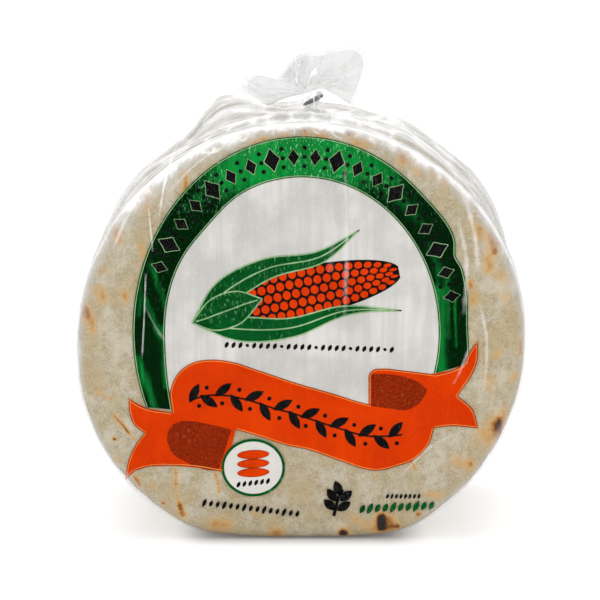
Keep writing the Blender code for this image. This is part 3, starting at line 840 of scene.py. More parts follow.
def neck_and_tail():
    """The outer film from the skirt, through the clip, to the mouth."""
    count = 288
    turn = np.linspace(0, 2 * math.pi, count, endpoint=False)
    ring = np.stack([np.cos(turn), -np.sin(turn), np.zeros_like(turn)], axis=-1)
    pleat = 1 + 0.12 * crease(ring, 0.25, 51, 2)
    skirt = np.array([NECK[0] - 3 * MM, NECK[1], SKIRT_HEIGHT]) + SKIRT_HALF * pleat[:, None] * ring
    below = neck_loop(turn, NECK_HALF, -CLIP_CLEAR)
    above = neck_loop(turn, NECK_HALF, CLIP_CLEAR)
    climb = np.linspace(0, 1, 16)[:-1, None, None]
    foot = skirt + (below - skirt) * climb
    foot[..., 2] = SKIRT_HEIGHT + (below[:, 2] - SKIRT_HEIGHT) * climb[..., 0] ** 1.9
    stations = np.linspace(0, 1, 60)
    tail = tail_rows(turn, above, mouth_points(turn), stations)
    share = stations[:, None]
    swell = np.sin(math.pi * share**0.8)
    folds = 0.28 * np.cos(9 * turn + 1.3) + 0.15 * np.cos(14 * turn) + 0.12 * np.cos(23 * turn + 5 * share)
    half = NECK_HALF[1] * (1 - share) + 4.0 * MM * swell * (1 + share * folds)
    creases = tail_creases(tail, turn, 52)
    half = half + 0.9 * MM * swell * (creases - 0.3)
    tail[..., 1] = NECK[1] + sway(turn, share) - np.maximum(half, 0) * np.sin(turn)
    points = np.concatenate([foot, below[None], tail])
    smooth_part = smooth_step(fan_angle(turn), 75, 40) * smooth_step(share, 0.4, 0.8)
    # Creases raise the bunch_and_glare mask, so the veil whitens along them as painted highlights.
    tail_bunch = 0.14 + 0.35 * bell(share, 0.25) + 0.75 * creases**1.5 * (1 - smooth_part)
    foot_bunch = 0.9 * climb[..., 0] ** 1.5 * (0.5 + crease(foot, 2.2 * MM, 53, 2))
    bunch_and_glare = np.concatenate([foot_bunch, np.full((1, count), 0.9), tail_bunch])
    values = {"bunch_and_glare": np.clip(bunch_and_glare, 0, 1)}
    return surface("film_tail", points, tail_film, wrap=True, values=values)


def inner_layer(name, reach, wave_height, seed):
    """A loose sheet inside the tail: the same fan, shorter, waving in and out along Y."""
    turn = np.linspace(0.12, math.pi - 0.12, 180)
    start = neck_loop(turn, (1.2 * MM, 0), CLIP_CLEAR)
    stations = np.linspace(0.02, 1, 50)
    points = tail_rows(turn, start, mouth_points(turn, reach), stations)
    share = stations[:, None]
    wave = 0.6 * np.sin(7 * turn + seed) + 0.4 * np.sin(17 * turn + 3 * share + seed)
    creases = tail_creases(points, turn, seed)
    points[..., 1] = NECK[1] + sway(turn, share) + wave_height * np.sin(math.pi * share**0.9) * wave
    points[..., 1] += 0.5 * MM * (creases - 0.4) * share * (1 - share) * 4
    # Its creases whiten the veil as painted highlights too.
    return surface(name, points, tail_film, values={"bunch_and_glare": np.clip(0.08 + 0.6 * creases**1.5, 0, 1)})


def wrap_sheet():
    """Film drawn over the clip, a shallow bowl of the squares of both parameters. It is veiled but for a slit
    along the clip, as high as the root of 1 less the square of the distance from its middle, with thin
    white threads across it, painted highlights of creases."""
    u, v = np.meshgrid(np.linspace(-1, 1, 90), np.linspace(-1, 1, 60))
    across, along = 7.5 * MM * u, 5.0 * MM * v
    points = NECK + across[..., None] * ACROSS + along[..., None] * ALONG
    points[..., 1] = clip_low[1] - 0.5 * MM + 3.0 * MM * (u**2 + v**2)
    slit_middle = -1.0 * MM + 0.3 * MM * u
    slit_half = 1.35 * MM * np.sqrt(np.clip(1 - (across / (4.1 * MM)) ** 2, 0, 1))
    open_part = smooth_step(slit_half - np.abs(along - slit_middle), -0.25 * MM, 0.3 * MM)
    # Thin white threads across the slit are painted highlights of creases over the clip.
    thread_glints = bell(across - 0.35 * along - 0.4 * MM, 0.16 * MM)
    thread_glints = thread_glints + 0.7 * bell(across + 0.5 * along - 1.9 * MM, 0.12 * MM)
    fade = smooth_step(np.hypot(u, v), 0.95, 0.45)
    near = bell(across, 5.2 * MM) * bell(along - 0.3 * MM, 3.4 * MM)
    veiled = fade * near * (1 - open_part) * (0.75 + 0.4 * crease(points, 1.6 * MM, 73, 3))
    bunch_and_glare = np.clip(veiled + open_part * thread_glints, 0, 1)
    return surface("film_wrap", points, glare_film, values={"bunch_and_glare": bunch_and_glare})


film_tail = neck_and_tail()
film_layer = inner_layer("film_layer", 0.92, 1.6 * MM, 61)
for piece in (film_tail, wrap_sheet(), film_layer):
    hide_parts("bag")
    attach(piece, "root")
print("faces of the tail:", len(film_tail.data.polygons), "and its layer:", len(film_layer.data.polygons))

# %% [markdown]
# ## The clip
#
# The solid of the clip is right as it is, so it stays and only gets a finish: a dull drawn wire with
# fine scratches along it and darker dirt in between.


# %% Clip metal
def clip_material():
    """Grey metal whose tone and roughness follow fine scratches."""
    material, tree, out, place = new_material("clip metal")
    turned = stretched(tree, place, (900.0, 900.0, 3200.0), (0.0, -CLIP_TILT, 0.0))
    scratches = cloud(tree, turned, 1.0, 3.0, 0.6)
    dirt = cloud(tree, place, 900.0, 3.0, 0.6)
    colour = blend(tree, step(tree, scratches, 0.35, 0.7), (0.12, 0.12, 0.125, 1), (0.30, 0.30, 0.31, 1))
    colour = blend(tree, step(tree, dirt, 0.55, 0.75, 0.0, 0.6), colour, (0.06, 0.06, 0.06, 1))
    roughness = step(tree, scratches, 0.3, 0.7, 0.5, 0.3)
    bump = add(tree, "ShaderNodeBump", {"Height": scratches, "Strength": 0.3, "Distance": 0.0001})
    shader = add(
        tree,
        "ShaderNodeBsdfPrincipled",
        {"Base Color": colour, "Roughness": roughness, "Metallic": 1.0, "Normal": bump.outputs[0]},
    )
    tree.links.new(shader.outputs[0], out.inputs["Surface"])
    return material


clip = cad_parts["clip"]
clip.data.materials.clear()
clip.data.materials.append(clip_material())

# %% [markdown]
# ## The print
#
# Ink is a layer with no thickness of its own. Each printed field is a thin sheet laid just under the
# film, so that the film's shine and folds run over it. Fields are spanned between two edges, and every
# edge is a smooth curve through a few points, in millimetres from the stack's axis. Fields that
# overlap lie on layers a few hundredths of a millimetre apart.


# %% Laying shapes on the film
def on_film(flat, layer):
    """Points (x, height above the axis) on the front, sunk 0.05 mm for each layer below the flat of the film.
    Past the flat they follow its round edge, a quarter circle of RIM_ROUND."""
    x, z = flat[..., 0], flat[..., 1]
    angle = np.arctan2(z, x)
    angle = np.where(angle < -math.pi / 2, angle + 2 * math.pi, angle)
    past = (np.hypot(x, z) - (outline_radius(angle) - RIM_ROUND)) / RIM_ROUND
    back = RIM_ROUND * (1 - np.sqrt(1 - np.clip(past, 0, 0.98) ** 2))
    y = -HALF_DEPTH + back + (0.05 * MM) * layer
    return np.stack([AXIS_X + x, y, AXIS_HEIGHT + z], axis=-1)


def curve(points, count):
    """A smooth line through points: cubics whose slope at each point blends the stretches beside it."""
    points = np.array(points, dtype=float) * MM
    reach = np.r_[0, np.cumsum(np.hypot(*np.diff(points, axis=0).T))]
    slope = np.gradient(points, reach, axis=0)
    at = np.linspace(0, reach[-1], count)
    k = np.clip(np.searchsorted(reach, at, side="right") - 1, 0, len(reach) - 2)
    length = (reach[k + 1] - reach[k])[:, None]
    t = (at - reach[k])[:, None] / length
    ends = points[k] * (1 + 2 * t) * (1 - t) ** 2 + points[k + 1] * t * t * (3 - 2 * t)
    return ends + length * (slope[k] * t * (1 - t) ** 2 + slope[k + 1] * t * t * (t - 1))


def field(name, edges, ink, layer, rows=12, masks=None):
    """A sheet of ink from the first edge over the next ones to the last, in straight lines between them.
    Each mask is a function of x and height whose value the sheet carries."""
    edges = [np.asarray(edge) for edge in edges]
    stack = [
        low + (high - low) * share
        for low, high in zip(edges[:-1], edges[1:])
        for share in np.linspace(0, 1, rows, endpoint=False)
    ]
    flat = np.array(stack + [edges[-1]])
    values = {key: mask(flat[..., 0], flat[..., 1]) for key, mask in (masks or {}).items()}
    piece = surface(name, on_film(flat, layer), ink, values=values)
    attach(piece, "root")
    return piece


def beside(path, offset):
    """A path moved sideways: to the left of its direction for a positive offset."""
    along = np.gradient(path, axis=0)
    along /= np.linalg.norm(along, axis=1, keepdims=True)
    return path + np.stack([-along[:, 1], along[:, 0]], axis=-1) * offset


def line(name, path, width, ink, slot, layer):
    """A drawn line: the path moved half its width to each side."""
    return field(name, [beside(path, -width / 2), beside(path, width / 2)], ink, layer, rows=2)


def rim_lines(name, path, dark, pale, slot, layer):
    """The edge of a printed field, whose inside is to the left of the path: a fine dark line, and a pale
    one inside it."""
    line(f"{name}_dark", beside(path, 0.05 * MM), 0.26 * MM, dark, slot, layer)
    line(f"{name}_pale", beside(path, 0.34 * MM), 0.22 * MM, pale, slot, layer - 0.5)


def stamps(name, shape, centres, sizes, turns, ink, layer):
    """Many small flat shapes in one piece: the shape scaled, turned and moved to each centre, then laid on
    the film as a fan of triangles round its middle."""
    shape, centres, sizes, turns = (np.asarray(v, dtype=float) for v in (shape, centres, sizes, turns))
    scaled = shape[None] * sizes[:, None, :]
    cos, sin = np.cos(turns)[:, None], np.sin(turns)[:, None]
    along, across = scaled[..., 0], scaled[..., 1]
    moved = np.stack([along * cos - across * sin, along * sin + across * cos], axis=-1)
    rims = moved + centres[:, None]
    count, corners = rims.shape[:2]
    flat = np.concatenate([centres[:, None], rims], axis=1) * MM
    points = on_film(flat, layer).reshape(-1, 3)
    base = (np.arange(count) * (corners + 1))[:, None]
    ring = np.arange(corners)[None]
    fan = [base + 0 * ring, base + 1 + ring, base + 1 + (ring + 1) % corners]
    faces = np.stack(fan, axis=-1).reshape(-1, 3)
    mesh = bpy.data.meshes.new(name)
    mesh.from_pydata(points.tolist(), [], faces.tolist())
    mesh.shade_smooth()
    mesh.materials.append(ink)
    piece = bpy.data.objects.new(name, mesh)
    bpy.context.scene.collection.objects.link(piece)
    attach(piece, "root")
    return piece


def oval(corners=20):
    """A circle of radius 1."""
    turn = np.linspace(0, 2 * math.pi, corners, endpoint=False)
    return np.stack([np.cos(turn), np.sin(turn)], axis=-1)


def star_shape(corners=32):
    """A four-pointed star: 0.6 of the cube of cosine and sine, made fuller by 0.4 of each."""
    turn = np.linspace(0, 2 * math.pi, corners, endpoint=False)
    cos, sin = np.cos(turn), np.sin(turn)
    return np.stack([0.6 * cos**3 + 0.4 * cos, 0.6 * sin**3 + 0.4 * sin], axis=-1)


def leaf_shape(corners=20):
    """A pointed leaf, half length 1 along X: its half width is 1 - x^2 on both sides."""
    turn = np.linspace(0, 2 * math.pi, corners, endpoint=False)
    return np.stack([np.cos(turn), np.sign(np.sin(turn)) * np.sin(turn) ** 2], axis=-1)


# %% [markdown]
# ### Arch and panel
#
# The green arch runs between two ellipses. The right leg ends at the ribbon, and the left one runs on
# behind it, straighter than the ellipse. A pale line edges it, and the milky panel fills its inside.

# %% Arch and panel
ARCH_MIDDLE = (-0.1, 2.9)
ARCH_OUTER, ARCH_INNER = (48.1, 55.9), (39.0, 44.4)
ARCH_POINTS = 360
LEG_OUT = 3.2


def ellipse(half, start, end, waves, count=ARCH_POINTS):
    """Points of an ellipse about the arch's middle, between two angles in degrees. Each wave (angle,
    spread, rise) moves the line out by a bell of the angle, as the film lies in soft folds. The inner line
    of the left leg runs out by LEG_OUT mm at 30 degrees past level, by a square of the angle."""
    degrees = np.linspace(start, end, count)
    turn = np.radians(degrees)
    out = sum(rise * bell(degrees - at, spread) for at, spread, rise in waves)
    leg = np.clip(degrees - 180, 0, None) / 30
    x = ARCH_MIDDLE[0] + (half[0] + out) * np.cos(turn) - LEG_OUT * leg**2 * (half is ARCH_INNER)
    return np.stack([x, ARCH_MIDDLE[1] + (half[1] + out) * np.sin(turn)], axis=-1) * MM


GREEN_LIGHT = (  # x and height of the two ends, half width and strength of the light patches, in mm
    (-10.0, 54.0, 8.0, 54.5, 7.5, 0.95), (-22.0, 48.0, -10.0, 53.0, 4.5, 0.50),
    (10.0, 53.0, 24.0, 47.0, 4.0, 0.42), (-33.0, 38.5, -29.5, 41.5, 1.6, 0.30),
    (-42.6, 22.0, -38.6, 9.5, 1.2, 0.50), (-44.2, 12.5, -41.0, 2.6, 1.0, 0.45),
    (-39.6, 4.0, -38.6, -12.5, 1.1, 0.62), (-47.0, -4.5, -42.0, -18.5, 1.3, 0.58),
    (-45.6, 20.0, -46.4, 8.0, 0.7, 0.30), (38.5, 14.5, 39.2, -9.0, 2.2, 0.70),
    (41.5, 18.0, 41.6, 2.0, 1.0, 0.25), (36.0, 28.0, 39.0, 20.0, 1.2, 0.30),
    (28.0, 41.0, 34.5, 33.5, 1.2, 0.25), (43.4, 13.0, 43.8, -1.0, 0.5, 0.45),
)


def green_light(x, z):
    """How much light the green shows: the light patches, a low glow at the top, and fine upright streaks."""
    glow = 0.16 * smooth_step(z, 26 * MM, 52 * MM)
    upright = noise(np.stack([x / (0.8 * MM), 0 * x, z / (9 * MM)], axis=-1), 1.0, 71)
    return np.clip((streaks(x, z, GREEN_LIGHT) + glow) * (1 + 0.35 * upright), 0, 1)


def green_flecks(x, z):
    """Where the green is flecked: where it is lit, the more so the higher up."""
    return green_light(x, z) * (0.15 + 0.85 * smooth_step(z, 12 * MM, 44 * MM)) + 0.02


OUTER_WAVES = ((31, 9, 1.2), (23.5, 3, -1.2), (2, 8, -0.9))
INNER_WAVES = ((135, 14, -1.2),)
outer = ellipse(ARCH_OUTER, 202.6, -9.2, OUTER_WAVES)
inner = ellipse(ARCH_INNER, 209.9, -15.4, INNER_WAVES)
arch_masks = {"lit": green_light, "flecked": green_flecks}
field("print_arch", [inner, outer], arch_green, 4, rows=44, masks=arch_masks)
rim_lines("print_arch_outer", outer[::-1], green, pale_green, "green_ink", 3)
rim_lines("print_arch_inner", inner, green, pale_green, "green_ink", 3)
ribbon_axis = curve([(-40, -14), (-25, -13), (0, -19), (25, -27), (40, -14)], ARCH_POINTS)
panel_edge = ellipse(ARCH_INNER, 205, -18, INNER_WAVES)
field("print_panel", [ribbon_axis, panel_edge], milky, 5, rows=40)

# %% [markdown]
# ### Ribbon
#
# The ribbon waves across the panel, folds back at both ends, where its shaded back shows brown, and
# ends in two swallow tails. A fine dark line and a lighter one inside it run along its edges.

# %% Ribbon
RIBBON_POINTS = 140
band_top = curve(
    [
        (-37.0, -20.3), (-37.5, -13.5), (-34.8, -8.2), (-31.2, -5.8), (-25.8, -4.9), (-20.3, -5.5),
        (-13.0, -7.8), (-2.1, -11.5), (8.8, -14.7), (19.2, -17.8), (29.0, -18.6), (35.0, -17.0),
        (38.0, -15.0),
    ],
    RIBBON_POINTS,
)
band_low = curve(
    [
        (-37.0, -21.5), (-33.0, -23.8), (-26.0, -23.8), (-19.0, -25.0), (-12.1, -27.0), (-4.0, -29.6),
        (1.5, -30.7), (10.6, -33.9), (21.5, -36.8), (27.5, -35.4), (32.0, -33.6), (36.2, -29.0),
        (37.6, -24.5),
    ],
    RIBBON_POINTS,
)
loop_low = curve([(19.0, -18.3), (25.0, -19.5), (32.0, -19.5), (38.0, -18.0)], 80)
loop_top = curve(
    [
        (19.0, -17.6), (19.0, -12.0), (19.2, -9.0), (20.3, -7.8), (22.7, -7.5), (28.4, -8.0),
        (34.9, -8.8), (38.0, -9.2),
    ],
    80,
)
right_tips = np.concatenate(
    [
        curve([(49.9, 0.3), (50.0, -1.5), (49.7, -5.5), (48.0, -9.7), (46.0, -12.8), (44.2, -15.4)], 40)[:-1],
        curve([(44.2, -15.4), (46.5, -17.2), (48.4, -19.0), (49.7, -22.5), (50.2, -24.6)], 41),
    ]
)
left_tips = np.concatenate(
    [
        curve([(-49.4, -16.0), (-49.2, -20.2), (-48.0, -23.4), (-45.0, -26.0)], 40)[:-1],
        curve([(-45.0, -26.0), (-47.5, -29.4), (-49.6, -34.0), (-50.6, -39.6)], 41),
    ]
)
right_tail = [
    curve([(36.0, -9.0), (36.0, -17.0), (36.0, -24.7)], 80),
    curve([(42.6, -8.0), (41.8, -16.2), (43.1, -23.9)], 80),
    curve([(46.2, -6.0), (43.4, -15.8), (46.8, -24.2)], 80),
    right_tips,
]
left_tail = [
    left_tips,
    curve([(-47.6, -17.2), (-43.8, -26.3), (-47.8, -36.9)], 80),
    curve([(-44.2, -18.9), (-41.0, -26.8), (-43.9, -35.7)], 80),
    curve([(-37.0, -20.1), (-36.5, -27.0), (-37.1, -35.4)], 80),
    curve([(-28.0, -22.0), (-28.0, -29.0), (-28.5, -36.2)], 80),
    curve([(-19.0, -25.0), (-20.5, -31.0), (-22.8, -37.1)], 80),
]
field("print_ribbon", [band_low, band_top], orange, 3, rows=16)
field("print_ribbon_loop", [loop_low, loop_top], orange, 3.5, rows=10)
field("print_left_tail", left_tail, orange, 3.5, rows=8)
field("print_right_tail", right_tail, orange, 2.7, rows=8)

left_fold = [
    curve([(-38.6, -28.2), (-37.2, -31.6), (-32.8, -34.6), (-27.5, -36.6), (-24.0, -36.9)], 50),
    curve(
        [(-38.6, -27.2), (-37.8, -24.4), (-35.0, -22.7), (-31.3, -22.6), (-26.0, -23.6), (-20.2, -25.0)],
        50,
    ),
]
right_fold = [
    curve([(19.7, -18.2), (25.0, -18.9), (29.8, -19.3), (32.9, -17.8), (35.3, -14.6)], 50),
    curve([(19.7, -9.0), (25.0, -9.1), (29.5, -9.9), (33.5, -11.6), (35.5, -13.4)], 50),
]
field("print_left_fold", left_fold, brown, 2.3, rows=10)
field("print_right_fold", right_fold, brown, 2.3, rows=10)

tail_top = curve([(38.0, -9.2), (42.6, -8.0), (46.2, -6.0), (47.4, -3.3), (49.2, -0.5), (49.9, 0.3)], 50)
tail_low = curve([(50.2, -24.6), (46.8, -24.2), (43.1, -23.9), (37.6, -24.5)], 50)
left_low = curve(
    [(-50.6, -39.6), (-47.8, -36.9), (-43.9, -35.7), (-37.1, -35.4), (-30.5, -35.8), (-22.8, -37.1)], 60
)
left_top = curve([(-37.3, -20.1), (-44.5, -18.9), (-47.8, -17.3), (-49.4, -16.0)], 40)
before_loop = np.searchsorted(band_top[:, 0], 19.0 * MM)
below_badge = np.searchsorted(band_low[:, 0], -19.0 * MM)
edges = (band_top[before_loop::-1], loop_top[::-1], tail_top[::-1], right_tips[::-1], tail_low[::-1],
         band_low[below_badge:], left_low, left_tips, left_top)
for number, edge in enumerate(edges):
    rim_lines(f"print_ribbon_edge_{number + 1}", edge, rust, peach, "orange_ink", 2.2)

# %% [markdown]
# ### Motifs
#
# The middle of the panel carries a drawn ear of maize with its husk, in orange, green and black. Stars
# and dots run along the arch, a vine with leaves along the ribbon, and small seeds and a sprig stand at
# the foot. A painted picture could carry them, but plain shapes stamped many times from one outline stay
# sharp at any size.

# %% Ear of maize
EAR_TURN = math.radians(12)
EAR_MIDDLE = (0.5, 14.6)


def on_ear(points):
    """Points along and across the ear, turned by its tilt and moved to its middle."""
    points = np.asarray(points, dtype=float)
    x = points[..., 0] * math.cos(EAR_TURN) - points[..., 1] * math.sin(EAR_TURN)
    z = points[..., 0] * math.sin(EAR_TURN) + points[..., 1] * math.cos(EAR_TURN)
    return np.stack([x + EAR_MIDDLE[0], z + EAR_MIDDLE[1]], axis=-1)


def ear_half(along):
    """Half width of the ear: an ellipse of the distance along it, fullest towards its foot."""
    return 6.8 * np.sqrt(np.clip(1 - ((along + 4) / 32) ** 2, 0, 1))


cob = np.linspace(-20.0, 27.6, 60)
shade = [on_ear(np.stack([cob, side * (ear_half(cob) + 0.6)], -1)) * MM for side in (-1, 1)]
field("print_ear_shade", shade, black, 4, rows=8)
rows_across = np.array([-0.82, -0.41, 0.0, 0.41, 0.82])
places = np.arange(-18.5, 26.0, 2.7)
grid = np.array(
    [(place + 1.35 * (row % 2), share) for row, share in enumerate(rows_across) for place in places]
)
kernels = on_ear(np.stack([grid[:, 0], grid[:, 1] * ear_half(grid[:, 0])], -1))
kernel_size = np.stack([np.full(len(grid), 1.15), 0.19 * ear_half(grid[:, 0])], -1)
kernel_turns = np.full(len(grid), EAR_TURN)
stamps("print_ear_kernels", oval(14), kernels, kernel_size, kernel_turns, orange, 3.3)
HUSKS = (  # the two edges of each husk leaf, along and across the ear, in mm
    (
        ((-33, -2.0), (-24, 7.5), (-10, 11.5), (6, 10.5), (19, 14.0)),
        ((-33, -2.0), (-22, 1.0), (-8, 5.8), (8, 7.4), (19, 14.0)),
    ),
    (
        ((-33, -2.0), (-22, -9.5), (-6, -12.0), (12, -9.0), (26, -11.0)),
        ((-33, -2.0), (-20, -3.2), (-6, -6.5), (10, -6.3), (26, -11.0)),
    ),
    (
        ((-33, -2.0), (-26, 3.5), (-19, 4.2), (-12, 0.5)),
        ((-33, -2.0), (-27, -5.5), (-20, -5.2), (-12, 0.5)),
    ),
)
for number, (first, second) in enumerate(HUSKS):
    edges = [curve(on_ear(first), 60), curve(on_ear(second), 60)]
    low = 2.9 - 0.35 * number
    field(f"print_husk_{number + 1}", edges, green, low, rows=8)
    rib = (edges[0] + edges[1]) / 2
    for part, path in (("line", edges[0]), ("edge", edges[1]), ("rib", rib[3:-4])):
        line(f"print_husk_{number + 1}_{part}", path, 0.4 * MM, pale_green, "green_ink", low - 0.2)

# %% Stars on the arch, vine on the ribbon and seeds
ARCH_STARS = 19
turn = np.radians(np.linspace(158, 12, ARCH_STARS))
middle_x = ARCH_MIDDLE[0] + (ARCH_OUTER[0] + ARCH_INNER[0]) / 2 * np.cos(turn)
middle_z = ARCH_MIDDLE[1] + (ARCH_OUTER[1] + ARCH_INNER[1]) / 2 * np.sin(turn)
arch_centres = np.stack([middle_x, middle_z], -1)
arch_turns = np.arctan2(np.sin(turn) / 50, np.cos(turn) / 43) - math.pi / 2
large = np.where(np.arange(ARCH_STARS) % 3 == 1, 1.0, 0.72)[:, None]
stamps("print_arch_stars_rim", star_shape(), arch_centres, [2.45, 3.5] * large, arch_turns, pale_green,
       2.5)
stamps("print_arch_stars", star_shape(), arch_centres, [2.2, 3.2] * large, arch_turns, black,
       1.7)
between = (turn[:-1] + turn[1:]) / 2
for number, reach in enumerate((-2.6, 0.0, 2.6)):
    dot_x = ARCH_MIDDLE[0] + ((ARCH_OUTER[0] + ARCH_INNER[0]) / 2 + reach) * np.cos(between)
    dot_z = ARCH_MIDDLE[1] + ((ARCH_OUTER[1] + ARCH_INNER[1]) / 2 + reach) * np.sin(between)
    dots = np.stack([dot_x, dot_z], -1)
    stamps(f"print_arch_dots_{number + 1}", oval(14), dots, [(0.62, 0.62)] * len(dots),
           np.zeros(len(dots)), black, 1.7)

ribbon_middle = (band_top + band_low) / 2 / MM
picks = np.linspace(20, RIBBON_POINTS - 24, 15).astype(int)
lean = np.gradient(ribbon_middle, axis=0)[picks]
slope = np.arctan2(lean[:, 1], lean[:, 0])
upward = np.stack([-np.sin(slope), np.cos(slope)], -1)
alternate = np.where(np.arange(len(picks)) % 2 == 0, 1.0, -1.0)
leaf_places = ribbon_middle[picks] + upward * alternate[:, None] * 1.6
stamps("print_ribbon_leaves", leaf_shape(), leaf_places, [(3.1, 1.25)] * len(picks),
       slope + alternate * 0.75, black, 1.6)
stamps("print_ribbon_dots", oval(12), ribbon_middle[picks] - upward * alternate[:, None] * 2.3,
       [(0.62, 0.62)] * len(picks), slope, black, 1.6)
line("print_ribbon_vine", ribbon_middle[picks[0] - 4 : picks[-1] + 4] * MM, 0.5 * MM, black, "black_ink", 1.8)

row_x = np.linspace(-21.5, 25.5, 25)
stamps("print_panel_seeds", leaf_shape(), np.stack([row_x, -0.6 - 0.03 * (row_x + 21)], -1),
       np.stack([np.where(np.arange(25) % 5 == 3, 0.5, 1.0), np.full(25, 0.55)], -1), np.full(25, 1.1), black,
       3.3)

# %% Badge, foot line and sprig
BADGE = (-14.0, -36.0)
badge_oval = oval(72)
stamps("print_badge_ring", badge_oval, [BADGE], [(9.1, 8.35)], [0.0], green, 2)
stamps("print_badge", badge_oval, [BADGE], [(8.3, 7.55)], [0.0], white, 1.5)
stack_places = np.stack([np.full(3, BADGE[0]), BADGE[1] + 1.0 + np.array([-2.4, 0.2, 2.8])], -1)
stamps("print_badge_stack_rim", oval(40), stack_places, [(4.6, 1.35)] * 3, [0.05] * 3, rust,
       1.1)
stamps("print_badge_stack", oval(40), stack_places, [(4.35, 1.1)] * 3, [0.05] * 3, orange, 0.7)
low_x = np.linspace(-4.2, 4.2, 6)
stamps("print_badge_seeds", leaf_shape(), np.stack([BADGE[0] + low_x, BADGE[1] - 4.4 + 0.12 * low_x], -1),
       [(1.0, 0.5)] * 6, [1.1] * 6, black, 1.1)

foot_x = np.linspace(-28.0, -1.4, 15)
stamps("print_foot_seeds", leaf_shape(), np.stack([foot_x, -46.2 - 0.12 * (foot_x + 28)], -1),
       np.stack([np.where(np.arange(15) % 3 == 0, 1.35, 1.0), np.full(15, 0.52)], -1),
       np.full(15, 1.15), black, 2)
right_x = np.linspace(17.2, 37.0, 10)
right_places = np.stack([right_x, -48.0 + 0.05 * (right_x - 17)], -1)
right_sizes = np.stack([np.where(np.arange(10) % 3 == 1, 1.8, 1.4), np.full(10, 0.75)], -1)
stamps("print_foot_green", leaf_shape(), right_places, right_sizes, np.full(10, 1.1), green, 2)
small_x = np.linspace(24.4, 33.4, 8)
stamps("print_foot_small", leaf_shape(), np.stack([small_x, np.full(8, -44.3)], -1),
       [(0.8, 0.4)] * 8, [1.2] * 8, black, 2)
stem = curve([(9.0, -50.0), (9.8, -47.0), (10.4, -44.5), (11.6, -42.4)], 24)
line("print_sprig_stem", stem, 0.9 * MM, black, "black_ink", 2)
leaf_at = np.array([(7.9, -46.8), (11.9, -47.2), (8.5, -44.0), (12.5, -44.2), (10.2, -42.0)])
leaf_turns = [2.4, 0.6, 2.2, 0.7, 1.9]
stamps("print_sprig_leaves", leaf_shape(), leaf_at, [(2.3, 1.3)] * 5, leaf_turns, black, 2)

# %% [markdown]
# ### Glare on the creases
#
# Where the film is pulled over the rim and towards the neck it creases, and each crease catches the
# light as a thin white line that swells and fades. These lines are painted highlights: narrow sheets on
# the film whose white veil is strongest in the middle.

# %% Creases
GLARES = (  # width, strength, then x and height above the axis of the points, in mm
    (0.5, 0.65, (-36.0, 55.5), (-38.6, 47.0), (-40.6, 36.0)),
    (0.4, 0.40, (-43.6, 39.0), (-42.8, 31.0), (-42.4, 26.0)),
    (0.35, 0.50, (-44.4, 20.0), (-44.9, 8.0), (-45.6, -4.6)),
    (0.5, 0.15, (-45.0, 11.0), (-40.0, 2.0), (-37.5, -1.0)),
    (0.8, 0.22, (12.0, 52.0), (12.6, 30.0), (12.0, 6.0)),
    (1.6, 0.12, (8.0, 45.0), (8.6, 30.0), (8.0, 20.0)),
    (1.0, 0.35, (46.0, 42.0), (49.0, 30.0), (50.0, 20.0)),
    (0.8, 0.30, (44.0, 36.0), (46.5, 24.0), (46.0, 8.0)),
    (0.6, 0.28, (50.5, 12.0), (52.5, 0.0), (52.0, -12.0)),
    (0.6, 0.22, (27.0, -39.5), (38.0, -29.0), (44.0, -26.0)),
    (0.6, 0.25, (48.0, 0.0), (45.0, -8.0), (43.0, -12.0)),
    (0.5, 0.25, (-22.0, 57.0), (-30.0, 51.0), (-38.0, 43.0)),
    (0.35, 0.35, (7.6, 60.6), (9.4, 59.0), (11.2, 58.2)),
    (0.35, 0.30, (14.2, 58.4), (16.4, 59.4), (18.0, 60.0)),
    (0.3, 0.30, (9.8, 61.0), (11.4, 59.6), (13.0, 59.2)),
    (0.4, 0.40, (2.6, 61.4), (3.6, 60.2), (5.0, 59.6)),
    (0.3, 0.40, (-3.0, 61.8), (-2.2, 60.4), (-2.4, 59.4)),
    (0.3, 0.40, (-9.0, 61.6), (-8.0, 60.4), (-8.4, 59.4)),
    (0.6, 0.45, (-20.0, 58.8), (-16.5, 57.8), (-14.8, 59.6)),
    (0.6, 0.45, (20.0, 59.8), (24.5, 57.6), (29.0, 56.6)),
    (0.5, 0.45, (31.0, 54.6), (34.5, 51.6), (36.0, 51.8)),
    (0.6, 0.45, (-30.0, 54.4), (-24.5, 54.6), (-21.5, 56.6)),
    (0.9, 0.40, (39.5, 49.0), (43.5, 44.5), (48.0, 40.0)),
    (0.6, 0.35, (-46.0, 42.5), (-50.6, 34.0), (-54.0, 26.0)),
)


def glare(number, width, strength, *path):
    """A narrow sheet along a path. Its veil falls off across it as (1 - u^2)^2 and at both ends as a sine."""
    middle = curve(path, 60)
    across = np.linspace(-1, 1, 9)
    swell = np.sin(np.linspace(0, math.pi, 60)) ** 0.6
    places = np.stack([middle[:, 0], 0 * middle[:, 0], middle[:, 1]], -1)
    wander = 1 + 0.4 * noise(places, 2 * MM, 80 + number)
    half = beside(middle, width * MM) - middle
    rows = np.array([middle + half * (u * wander[:, None]) for u in across])
    bunch_and_glare = strength * np.outer((1 - across**2) ** 2, swell * np.clip(wander, 0.4, 1.2))
    piece = surface(f"film_glare_{number + 1}", on_film(rows, -5.5), glare_film, values={"bunch_and_glare": bunch_and_glare})
    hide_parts("bag")
    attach(piece, "root")


for number, row in enumerate(GLARES):
    glare(number, *row)
print(len(GLARES), "creases")
